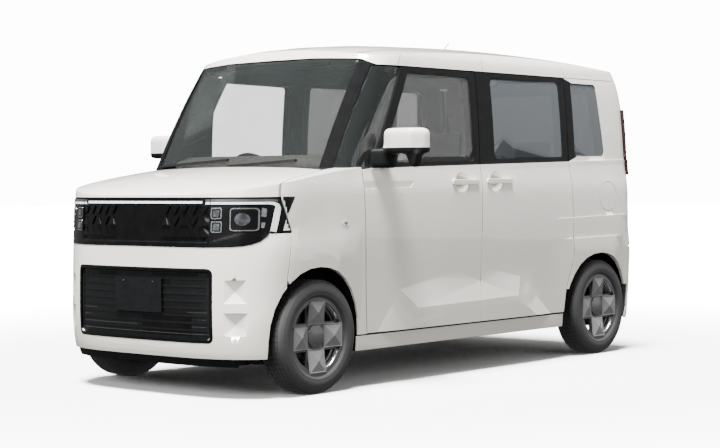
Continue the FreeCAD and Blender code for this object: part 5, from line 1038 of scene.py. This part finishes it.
class MouthFace:
    """Front face of the mouth, curved as the bumper is round it."""

    def __init__(self):
        self.skin = Skin("y", -1, "bumpers")
        self.low, self.high = MOUTH_Z[0] - 0.010, MOUTH_Z[1] + 0.010
        self.side = MOUTH_HALF + 0.008

    def depth(self, x, z):
        """Y of the bumper's face, as at its mouth's side where the point lies further out."""
        return self.skin.meet(max(-0.53, min(0.53, x)), z)[0].y

    def place(self, x, z, proud=0.0):
        """Point of the mouth's face, the given distance in front of it."""
        t = (z - self.low) / (self.high - self.low)
        flat = self.depth(x, self.low) * (1 - t) + self.depth(x, self.high) * t
        edge = self.depth(self.side, self.low) * (1 - t) + self.depth(self.side, self.high) * t
        return Vector((x, flat + self.depth(self.side, z) - edge - proud, z))

    def plate(self, x_low, x_high, z_low, z_high, proud, corner=0.0, depth=0.012):
        """Closed plate over part of the mouth, with rounded corners."""
        middle, half = (x_low + x_high) / 2, (x_high - x_low) / 2
        levels = [z_low]
        if corner:
            levels = [z_low + corner * (1 - math.cos(math.pi / 2 * k / 5)) for k in range(6)]
        count = max(1, int((z_high - z_low - 2 * corner) / 0.04))
        levels += [z_low + corner + (z_high - z_low - 2 * corner) * k / count for k in range(1, count)]
        levels += [z_high - z + z_low for z in levels[:6 if corner else 1]][::-1]
        rows = []
        for z in levels:
            near = min(z - z_low, z_high - z)
            inset = corner - math.sqrt(max(corner ** 2 - (corner - near) ** 2, 0)) if near < corner else 0.0
            reach = half - inset
            steps = max(2, int(2 * half / 0.03))
            shares = [2 * k / steps - 1 for k in range(steps + 1)]
            rows.append([self.place(middle + reach * share, z, proud) for share in shares])
        return slab_of(rows, (0, depth, 0))

    def border(self, width, proud, depth=0.008):
        """Closed frame round the mouth."""
        loops = []
        for cut in (0.0, width):
            side, low, high = MOUTH_HALF - cut, MOUTH_Z[0] + cut, MOUTH_Z[1] - cut
            corners = rounded([(-side, low), (side, low), (side, high), (-side, high)], MOUTH_CORNER - cut, 6)
            fine = []
            for here, after in zip(corners, corners[1:] + corners[:1]):
                steps = 24 if math.dist(here, after) > 0.1 else 1
                fine += [Vector(here).lerp(Vector(after), k / steps) for k in range(steps)]
            loops.append(fine)
        bm = bmesh.new()
        rings = [[bm.verts.new(self.place(x, z, lift)) for x, z in loops[loop]]
                 for loop, lift in ((0, proud), (1, proud), (1, proud - depth), (0, proud - depth))]
        for i, loop in enumerate(rings):
            other = rings[(i + 1) % 4]
            for j in range(len(loop)):
                k = (j + 1) % len(loop)
                bm.faces.new((loop[j], loop[k], other[k], other[j]))
        bmesh.ops.recalc_face_normals(bm, faces=bm.faces[:])
        return bm


class NoseFace(Skin):
    """The bumper's face, carried on over the deeper lamps and grille above it."""

    def __init__(self):
        super().__init__("y", -1, "bumpers")
        self.upper = Skin("y", -1, "headlamps", "grilles")

    def meet(self, a, b, lift=0.0):
        """The foremost of the upper face and the bumper's face, the latter carried up by 15 mm."""
        hits = [self.upper.meet(a, b, lift)]
        for drop in (0.0, 0.005, 0.010, 0.015):
            point, normal = super().meet(a, b - drop, lift)
            if point is not None:
                hits.append((Vector((point.x, point.y, point.z + drop)), normal))
        hits = [hit for hit in hits if hit[0] is not None]
        return min(hits, key=lambda hit: hit[0].y) if hits else (None, None)


class CAR_OT_grilles(bpy.types.Operator):
    """Black grille panels, the panel in the lower mouth with its ribs, and the screws of the front plate"""

    bl_idname = "car.grilles"
    bl_label = "Finish the grilles"

    def execute(self, context):
        dress("grille_panels", ["grilles"], ["gloss_black_abs", "grained_black_plastic"],
              lambda centre, normal: 0 if centre.z > 0.7 else 1, 12.0)
        mouth = MouthFace()
        piece_from(mouth.border(0.017, 0.0008), "mouth_surround", BODY, ["gloss_black_abs"], bevel_mm=0.6)
        panel = mouth.plate(-0.468, 0.468, 0.272, 0.613, -0.0100, 0.030)
        piece_from(panel, "mouth_panel", BODY, ["charcoal_panel"])
        # Painted shade: dark plates just in front of the panel where it has recesses
        dark = [mouth.plate(*box, -0.0094, 0.004) for box in MOUTH_RECESS_SHADES]
        piece_from(joined(dark), "mouth_recess_shades", BODY, ["gloss_black_abs"])
        # Thin ribs across the mouth, grey as a painted highlight along them
        rib = mouth.plate(-0.456, 0.456, 0.3055, 0.3078, -0.0085, 0.0, 0.006)
        repeated(rib, "mouth_ribs", BODY, "rib_highlight_grey", 4, step=(0, -0.0006, 0.0345))
        # Black lip that finishes the upper panel over the bumper
        nose = NoseFace()
        edge = list(PANEL_LOW_EDGE)
        lower = [(-x, z) for x, z in edge[:0:-1]] + edge
        upper = [(0.6876, 0.790), (0.45, 0.790), (0.45, 0.752),
                 (-0.45, 0.752), (-0.45, 0.790), (-0.6876, 0.790)]
        piece_from(laid_on(nose, lower + upper, 1.2, 3.0, 7.0), "panel_lip", BODY, ["gloss_black_abs"])
        low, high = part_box("number_plate_front")
        repeated(screw_head(0.0045, 0.0022, 10), "front_plate_screws", BODY, "brake_steel", 2,
                 step=(PLATE_HOLES, 0, 0), centre=(-PLATE_HOLES / 2, low[1] - 0.0006, high[2] - 0.018))
        return {"FINISHED"}


class CAR_OT_front_lamps(bpy.types.Operator):
    """Light strip under the bonnet, lamp units and the turn-signal repeaters"""

    bl_idname = "car.front_lamps"
    bl_label = "Fit the front lamps"

    def execute(self, context):
        face = Skin("y", -1, "headlamps", "grilles")
        strips = [ribbon(face, [(-0.408, STRIP_Z), (0.408, STRIP_Z)], 11.0, 2.5, 3.0, 12.0)]
        veils, rims, insides, bowls, corners, painted = [], [], [], [], [], []
        # Dark wall that closes the slot between bonnet and lamps
        spots = [(x, face.meet(x, 0.932)[0]) for x in (0.66 * (k / 30 - 1) for k in range(61))]
        wall = [[Vector((x, spot.y + 0.006, z)) for x, spot in spots if spot] for z in (0.925, 0.9615)]
        slot = slab_of(wall, (0, 0.004, 0))
        for sign, _ in SIDES:
            corner = Skin("x", sign, "headlamps")
            over = [(sign * x, 0.929) for x in (0.428, 0.56, 0.63, 0.672)]
            strips.append(ribbon(face, over, 10.0, 3.0, 3.0, 8.0))
            veil = [(sign * x, VEIL_Z) for x in (0.426, 0.56, 0.63, 0.672)]
            veils.append(ribbon(face, veil, 13.0, 1.8, 2.0, 8.0))
            bend = [(y, z) for y, z, _ in STRIP_BEND]
            strips.append(ribbon(corner, bend, [width for _, _, width in STRIP_BEND], 3.0, 3.0, 5.0))
            veils.append(ribbon(corner, VEIL_END, [13, 13, 10], 1.8, 2.0, 6.0))
            fender = Skin("x", sign, "front_fenders")
            corners.append(laid_on(fender, LAMP_CORNER, 0.8, 1.0, 10.0))
            painted.append(laid_on(corner, FENDER_POINT, 1.0, 1.0, 10.0))
            for x, z in LAMP_SQUARES:
                square = [(sign * (x + a * SQUARE_HALF), z + b * SQUARE_HALF)
                          for a, b in ((-1, -1), (1, -1), (1, 1), (-1, 1))]
                rims.append(laid_on(face, rounded(square, 0.009), 2.2, 1.0, 12.0))
                insides.append(laid_on(face, rounded(framed(square, 0.0055), 0.006), 3.0, 1.0, 12.0))
                bowls.append(laid_on(face, rounded(framed(square, 0.011), 0.004), 3.6, 1.0, 12.0))
            outline = on_side(sign, PROJECTOR)
            rims.append(laid_on(face, rounded(outline, 0.017), 2.2, 1.0, 10.0))
            insides.append(laid_on(face, rounded(framed(outline, 0.0055), 0.013), 3.4, 1.0, 10.0))
            bowls.append(laid_on(face, oval(sign * 0.603, 0.853, 0.030, 0.030), 4.2, 1.0, 10.0))
            for fin, corner_radius in LAMP_FINS:
                rims.append(laid_on(face, rounded(on_side(sign, fin), corner_radius), 2.2, 1.0, 8.0))
        for name, parts, material in (
            ("day_light_strips", strips, "light_guide"),
            ("lamp_rear_corners", corners, "gloss_black_abs"),
            ("fender_points", painted, "pearl_enamel"),
            ("lamp_veils", veils, "lamp_veil"),
            ("lamp_rims", rims, "silver_reflector"),
            ("lamp_insides", insides, "gloss_black_abs"),
            ("lamp_bowls", bowls, "lamp_bowl"),
            ("bonnet_slot_seal", [slot], "shut_line_rubber"),
        ):
            piece_from(joined(parts), name, BODY, [material])
        for sign, side in SIDES:
            wall = Skin("x", sign, "front_fenders")
            repeater = laid_on(wall, oval(*REPEATER, 0.030, 0.012), 3.0, cell_mm=12.0)
            piece_from(repeater, "turn_repeater_" + side, BODY, ["lamp_lens"])
            bulb = laid_on(wall, oval(*REPEATER, 0.011, 0.006, 16), 3.6, cell_mm=12.0)
            piece_from(bulb, "repeater_bulb_" + side, BODY, ["repeater_amber"])
        return {"FINISHED"}


class CAR_OT_rear(bpy.types.Operator):
    """Blank rear plate, handle bar, high brake lamp, wiper and heater lines of the rear glass"""

    bl_idname = "car.rear"
    bl_label = "Finish the tailgate"

    def execute(self, context):
        gate = NODE_BODY["tailgate"]
        skin = Skin("y", 1, "tailgate")
        low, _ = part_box("tailgate_glass")
        face = max(skin.meet(x, z)[0].y for x in (-0.15, 0.15) for z in (0.80, 0.94))
        plate = cuboid((-0.165, face + 0.0005, 0.7875), (0.165, face + 0.0045, 0.9525))
        piece_from(plate, "rear_plate", gate, ["coated_plate"], bevel_mm=1.5)
        repeated(screw_head(0.0050, 0.0030, 12), "rear_plate_screws", gate, "brake_steel", 2,
                 step=(PLATE_HOLES, 0, 0), centre=(-PLATE_HOLES / 2, face + 0.0058, 0.934))
        bar = rounded([(-0.36, 0.985), (0.36, 0.985), (0.35, 1.035), (-0.35, 1.035)], 0.012)
        piece_from(laid_on(skin, bar, 9.0), "tailgate_handle_bar", gate, ["pearl_enamel"], bevel_mm=3.0)
        grip = rounded([(-0.10, 0.972), (0.10, 0.972), (0.10, 0.985), (-0.10, 0.985)], 0.004)
        piece_from(laid_on(skin, grip, 5.0), "tailgate_grip", gate, ["grained_black_plastic"], bevel_mm=1.0)
        lamp = rounded([(-0.14, 1.655), (0.14, 1.655), (0.14, 1.675), (-0.14, 1.675)], 0.006)
        piece_from(laid_on(skin, lamp, 3.0), "high_brake_lamp", gate, ["red_lens"], bevel_mm=0.8)
        pane = Skin("y", 1, "tailgate_glass")
        arm = [(0.02, low[2] + 0.03), (0.16, low[2] + 0.05), (0.30, low[2] + 0.085)]
        arm = ribbon(pane, arm, [16, 12, 9], 12.0, 5.0, 20.0)
        blade = ribbon(pane, [(0.10, low[2] + 0.040), (0.42, low[2] + 0.118)], 8.0, 7.0, 6.0, 20.0)
        boss = cylinder_x(0.017, 0.020, 24)
        seat = pane.meet(0.02, low[2] + 0.03)[0]
        bmesh.ops.transform(boss, matrix=Matrix.Translation(seat + Vector((0, 0.006, 0))) @ Matrix.Rotation(
            math.radians(90), 4, "Z"), verts=boss.verts[:])
        piece_from(joined([arm, blade, boss]), "rear_wiper", gate, ["grained_black_plastic"], bevel_mm=0.6)
        wire = ribbon(pane, [(-0.47, low[2] + 0.07), (0.47, low[2] + 0.07)], 1.6, -5.0, 0.4, 40.0)
        drop = pane.meet(0.0, low[2] + 0.37)[0].y - pane.meet(0.0, low[2] + 0.07)[0].y
        repeated(wire, "rear_heater_lines", gate, "demister_wire", 11, step=(0, drop / 10, 0.03))
        return {"FINISHED"}


# Wheels: half of the section of the tyre as (place across, radius), in metres
TYRE_SECTION = (
    (0.0, 0.2745), (0.0545, 0.2735), (0.0605, 0.2720), (0.0650, 0.2680), (0.0688, 0.2610), (0.0712, 0.2560),
    (0.0722, 0.2556), (0.0752, 0.2450), (0.0768, 0.2340), (0.0774, 0.2270), (0.0769, 0.2180),
    (0.0752, 0.2090), (0.0758, 0.2070), (0.0742, 0.2020), (0.0700, 0.1968), (0.0640, 0.1925),
    (0.0600, 0.1860))
TYRE_OUTLINE = (*TYRE_SECTION, *((-a, r) for a, r in TYRE_SECTION[:0:-1]), TYRE_SECTION[0])
DISC_OUTLINE = ((0.006, 0.066), (0.006, 0.118), (-0.003, 0.118), (-0.003, 0.066), (0.006, 0.066))
TREAD_HALF = 0.0545
TREAD_ROWS = ((-TREAD_HALF, -0.0375), (-0.0335, -0.0125), (-0.0085, 0.0085), (0.0125, 0.0335),
              (0.0375, TREAD_HALF))
TREAD_BLOCKS = 64
# Each block's share of its pitch, and how far one row is set off from the next round the tyre
TREAD_SHARE, TREAD_SKEW = 0.86, 0.0035
# Faces of the rim further out than this that look along the wheel's radius are its bright barrel
BARREL_RADIUS = 0.155
HUB_RADIUS, HUB_DEPTH = 0.0600, 0.010
# Spoke outlines from the foot to the facets: inner and outer end, half width, lift off the cover
SPOKE_LOOPS = ((0.0575, 0.1755, 0.0585, -0.003), (0.0575, 0.1755, 0.0585, 0.0030),
               (0.0600, 0.1730, 0.0560, 0.0045), (0.0640, 0.1690, 0.0520, 0.0025))
SPOKE_TAPER = 0.985
SPOKE_PEAK = 0.0130


def tread_row(radius, sign):
    """One row of tread blocks across the tyre, at the top of a wheel whose centre is at the origin."""
    blocks = []
    for i, (low, high) in enumerate(TREAD_ROWS):
        reach = math.pi * radius / TREAD_BLOCKS * TREAD_SHARE
        skew = (i - 2) * TREAD_SKEW * sign
        block = cuboid((low, -reach + skew, radius - 0.012), (high, reach + skew, radius))
        for vert in block.verts:
            if vert.co.z > radius - 0.001:
                edge = abs(vert.co.x) / TREAD_HALF
                vert.co.z -= 0.0012 * edge ** 2 + (vert.co.y ** 2) / (2 * radius)
                vert.co.x *= 0.99
        blocks.append(block)
    return joined(blocks)


def spoke_facets(face, centre, sign):
    """Four spokes, each a low four-sided pyramid on a raised border."""
    parts = []
    for turn in range(4):
        along = Vector((math.cos(math.pi / 2 * turn), math.sin(math.pi / 2 * turn)))
        side = Vector((-along.y, along.x))
        bm = bmesh.new()
        loops = []
        for low, high, half, lift in SPOKE_LOOPS:
            loop = []
            tip = half * SPOKE_TAPER
            for radial, across in ((low, -half), (low, half), (high, tip), (high, -tip)):
                place = along * radial + side * across
                spot = face.meet(centre[1] + place.x, centre[2] + place.y)[0]
                depth = centre[0] + sign * 0.05
                if spot is not None and abs(spot.x - centre[0]) > 0.02:
                    depth = spot.x
                loop.append(bm.verts.new((depth + sign * lift, centre[1] + place.x, centre[2] + place.y)))
            loops.append(loop)
        for inner, outer in zip(loops[1:], loops):
            for i in range(4):
                k = (i + 1) % 4
                bm.faces.new((outer[i], outer[k], inner[k], inner[i]))
        middle = sum((v.co for v in loops[-1]), Vector()) / 4
        peak = bm.verts.new(middle + Vector((sign * SPOKE_PEAK, 0, 0)))
        for i in range(4):
            bm.faces.new((loops[-1][i], loops[-1][(i + 1) % 4], peak))
        bm.faces.new(loops[0][::-1])
        bmesh.ops.recalc_face_normals(bm, faces=bm.faces[:])
        parts.append(bm)
    return joined(parts)


def barrel_rule(centre):
    """The rule that tells the bright barrel of a rim from its painted cover."""
    def rule(face_centre, normal):
        away = math.hypot(face_centre.y - centre[1], face_centre.z - centre[2])
        return 1 if away > BARREL_RADIUS and abs(normal.x) < 0.5 else 0
    return rule


def finish_wheel(end, sign, side):
    """Cover with spokes and hub, tyre wall with its tread, and brake disc of one wheel."""
    node = f"{end}_rim_{side}"
    tyre = f"{end}_tyre_{side}"
    low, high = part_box(tyre)
    centre = [(low[i] + high[i]) / 2 for i in range(3)]
    radius = (high[2] - low[2]) / 2
    dress(f"{end}_wheel_{side}", [node], ["wheel_cover_paint", "bright_aluminium"], barrel_rule(centre), 8.0)
    cover = Skin("x", sign, node)
    spokes = spoke_facets(cover, centre, sign)
    piece_from(spokes, f"{end}_spokes_{side}", NODE_BODY[node], ["spoke_paint"], 3.0)
    middle = cover.meet(centre[1], centre[2])[0].x
    hub = cylinder_x(HUB_RADIUS, HUB_DEPTH, 8)
    bmesh.ops.transform(hub, matrix=Matrix.Translation((middle - sign * 0.0038, centre[1], centre[2]))
                        @ Matrix.Rotation(math.radians(22.5), 4, "X"), verts=hub.verts[:])
    piece_from(hub, f"{end}_hub_cover_{side}", NODE_BODY[node], ["wheel_cover_paint"], bevel_mm=2.0)
    wall = piece_from(ring(centre, sign, TYRE_OUTLINE, 96), f"{end}_tyre_wall_{side}", NODE_BODY[tyre],
                      ["tyre_rubber"], 24.0)
    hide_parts(tyre)
    repeated(tread_row(radius, sign), f"{end}_tyre_tread_{side}", NODE_BODY[tyre], "tyre_rubber",
             TREAD_BLOCKS, turn=2 * math.pi / TREAD_BLOCKS, centre=centre)
    disc = ring(centre, sign, DISC_OUTLINE, 64)
    piece_from(disc, f"{end}_brake_disc_{side}", NODE_BODY[node], ["brake_steel"])


class CAR_OT_wheels(bpy.types.Operator):
    """Wheel covers with bright rims, spokes and hubs, tyres with tread and sidewall rings, and brake discs"""

    bl_idname = "car.wheels"
    bl_label = "Finish the wheels"

    def execute(self, context):
        for end in ("front", "rear"):
            for sign, side in SIDES:
                finish_wheel(end, sign, side)
        return {"FINISHED"}


# Studio: each soft light's name, place, target, width, height and power in watts
SOFTBOXES = (
    ("front_softbox", (1.0, -7.5, 3.6), (0, -1, 0.8), 5.0, 3.0, 480),
    ("side_softbox", (8.0, -1.0, 3.0), (0.7, 0.2, 0.9), 7.0, 3.0, 150),
    ("rear_card", (6.5, 6.5, 2.0), (0.7, 0.3, 1.2), 8.0, 4.0, 150),
)
# Strength of the sky for light and reflections, and as the camera sees it
SKY_STRENGTHS = (0.3, 14.0)
# The camera that fits the photo: place in metres, angles in degrees, focal length in mm
CAMERA_PLACE = (6.275, -7.360, 1.020)
CAMERA_AZIMUTH, CAMERA_ELEVATION, CAMERA_ROLL = 40.489, 1.35, -0.392
CAMERA_LENS = 86.035
CAMERA_SHIFT = (-0.00306, -0.00056)


def light_sky():
    """White behind the car for the camera, and a dimmer sky for the light and the reflections."""
    world = bpy.data.worlds.new("studio_air")
    bpy.context.scene.world = world
    world.use_nodes = True
    tree = world.node_tree
    path = put(tree, "ShaderNodeLightPath")
    level = put(tree, "ShaderNodeMapRange", None, {
        "Value": path.outputs["Is Camera Ray"], "To Min": SKY_STRENGTHS[0], "To Max": SKY_STRENGTHS[1]})
    tree.nodes["Background"].inputs["Color"].default_value = (1, 1, 1, 1)
    tree.links.new(level.outputs["Result"], tree.nodes["Background"].inputs["Strength"])


def light_car():
    """Soft boxes round the car, and even light from above, wide enough for a soft shadow."""
    for name, place, target, width, height, power in SOFTBOXES:
        data = bpy.data.lights.new(name, "AREA")
        data.shape = "RECTANGLE"
        data.size = width
        data.size_y = height
        data.energy = power
        lamp = add_to_scene(name, data)
        lamp.location = place
        lamp.rotation_mode = "QUATERNION"
        lamp.rotation_quaternion = (Vector(target) - Vector(place)).to_track_quat("-Z", "Y")
    data = bpy.data.lights.new("overhead_light", "SUN")
    data.energy = 26.0
    data.angle = math.radians(20)
    lamp = add_to_scene("overhead_light", data)
    lamp.rotation_euler = (math.radians(14.0), math.radians(3.0), 0.0)


def photo_camera():
    """The camera of the photo."""
    azimuth, elevation, roll = (math.radians(a) for a in (CAMERA_AZIMUTH, CAMERA_ELEVATION, CAMERA_ROLL))
    back = Vector((math.sin(azimuth) * math.cos(elevation), -math.cos(azimuth) * math.cos(elevation),
                   math.sin(elevation)))
    right = (-back).cross(Vector((0, 0, 1))).normalized()
    up = right.cross(-back)
    turned_right = right * math.cos(roll) + up * math.sin(roll)
    turned_up = -right * math.sin(roll) + up * math.cos(roll)
    data = bpy.data.cameras.new("photo_view")
    data.lens = CAMERA_LENS
    data.sensor_width = 36.0
    data.shift_x, data.shift_y = CAMERA_SHIFT
    data.clip_end = 200.0
    camera = add_to_scene("photo_view", data)
    turn = Matrix((turned_right, turned_up, back)).transposed().to_4x4()
    camera.matrix_world = Matrix.Translation(CAMERA_PLACE) @ turn
    bpy.context.scene.camera = camera


class CAR_OT_studio(bpy.types.Operator):
    """Pale floor, soft lights and the camera"""

    bl_idname = "car.studio"
    bl_label = "Set up the studio"

    def execute(self, context):
        size = context.scene.car_sizes.floor_size
        bpy.ops.mesh.primitive_plane_add(size=size, location=(0, 0, -0.0005))
        floor = context.object
        floor.name = "studio_floor"
        floor.data.materials.append(finish("floor_paper"))
        floor.visible_diffuse = False
        floor.visible_glossy = False
        light_sky()
        light_car()
        photo_camera()
        return {"FINISHED"}


class CAR_PT_panel(bpy.types.Panel):
    """The car's pieces in the sidebar"""

    bl_idname = "CAR_PT_panel"
    bl_label = "Small tall car"
    bl_space_type = "VIEW_3D"
    bl_region_type = "UI"
    bl_category = "Car"

    def draw(self, context):
        column = self.layout.column()
        for operator in OPERATORS:
            column.operator(operator.bl_idname)
        for group in (context.scene.car_sizes, context.scene.car_finishes):
            for name in group.__annotations__:
                column.prop(group, name)


OPERATORS = (CAR_OT_paint_panels, CAR_OT_glaze, CAR_OT_plain_parts, CAR_OT_seats, CAR_OT_seams,
             CAR_OT_grilles, CAR_OT_front_lamps, CAR_OT_rear, CAR_OT_wheels, CAR_OT_studio)
CLASSES = (CarFinishes, CarSizes, *OPERATORS, CAR_PT_panel)


def register():
    for item in CLASSES:
        bpy.utils.register_class(item)
    bpy.types.Scene.car_finishes = bpy.props.PointerProperty(type=CarFinishes)
    bpy.types.Scene.car_sizes = bpy.props.PointerProperty(type=CarSizes)


def unregister():
    del bpy.types.Scene.car_sizes
    del bpy.types.Scene.car_finishes
    for item in reversed(CLASSES):
        bpy.utils.unregister_class(item)


def main():
    register()
    bpy.ops.car.paint_panels()
    bpy.ops.car.glaze()
    bpy.ops.car.plain_parts()
    bpy.ops.car.seats()
    bpy.ops.car.seams()
    bpy.ops.car.grilles()
    bpy.ops.car.front_lamps()
    bpy.ops.car.rear()
    bpy.ops.car.wheels()
    bpy.ops.car.studio()


if __name__ == "__main__":
    main()
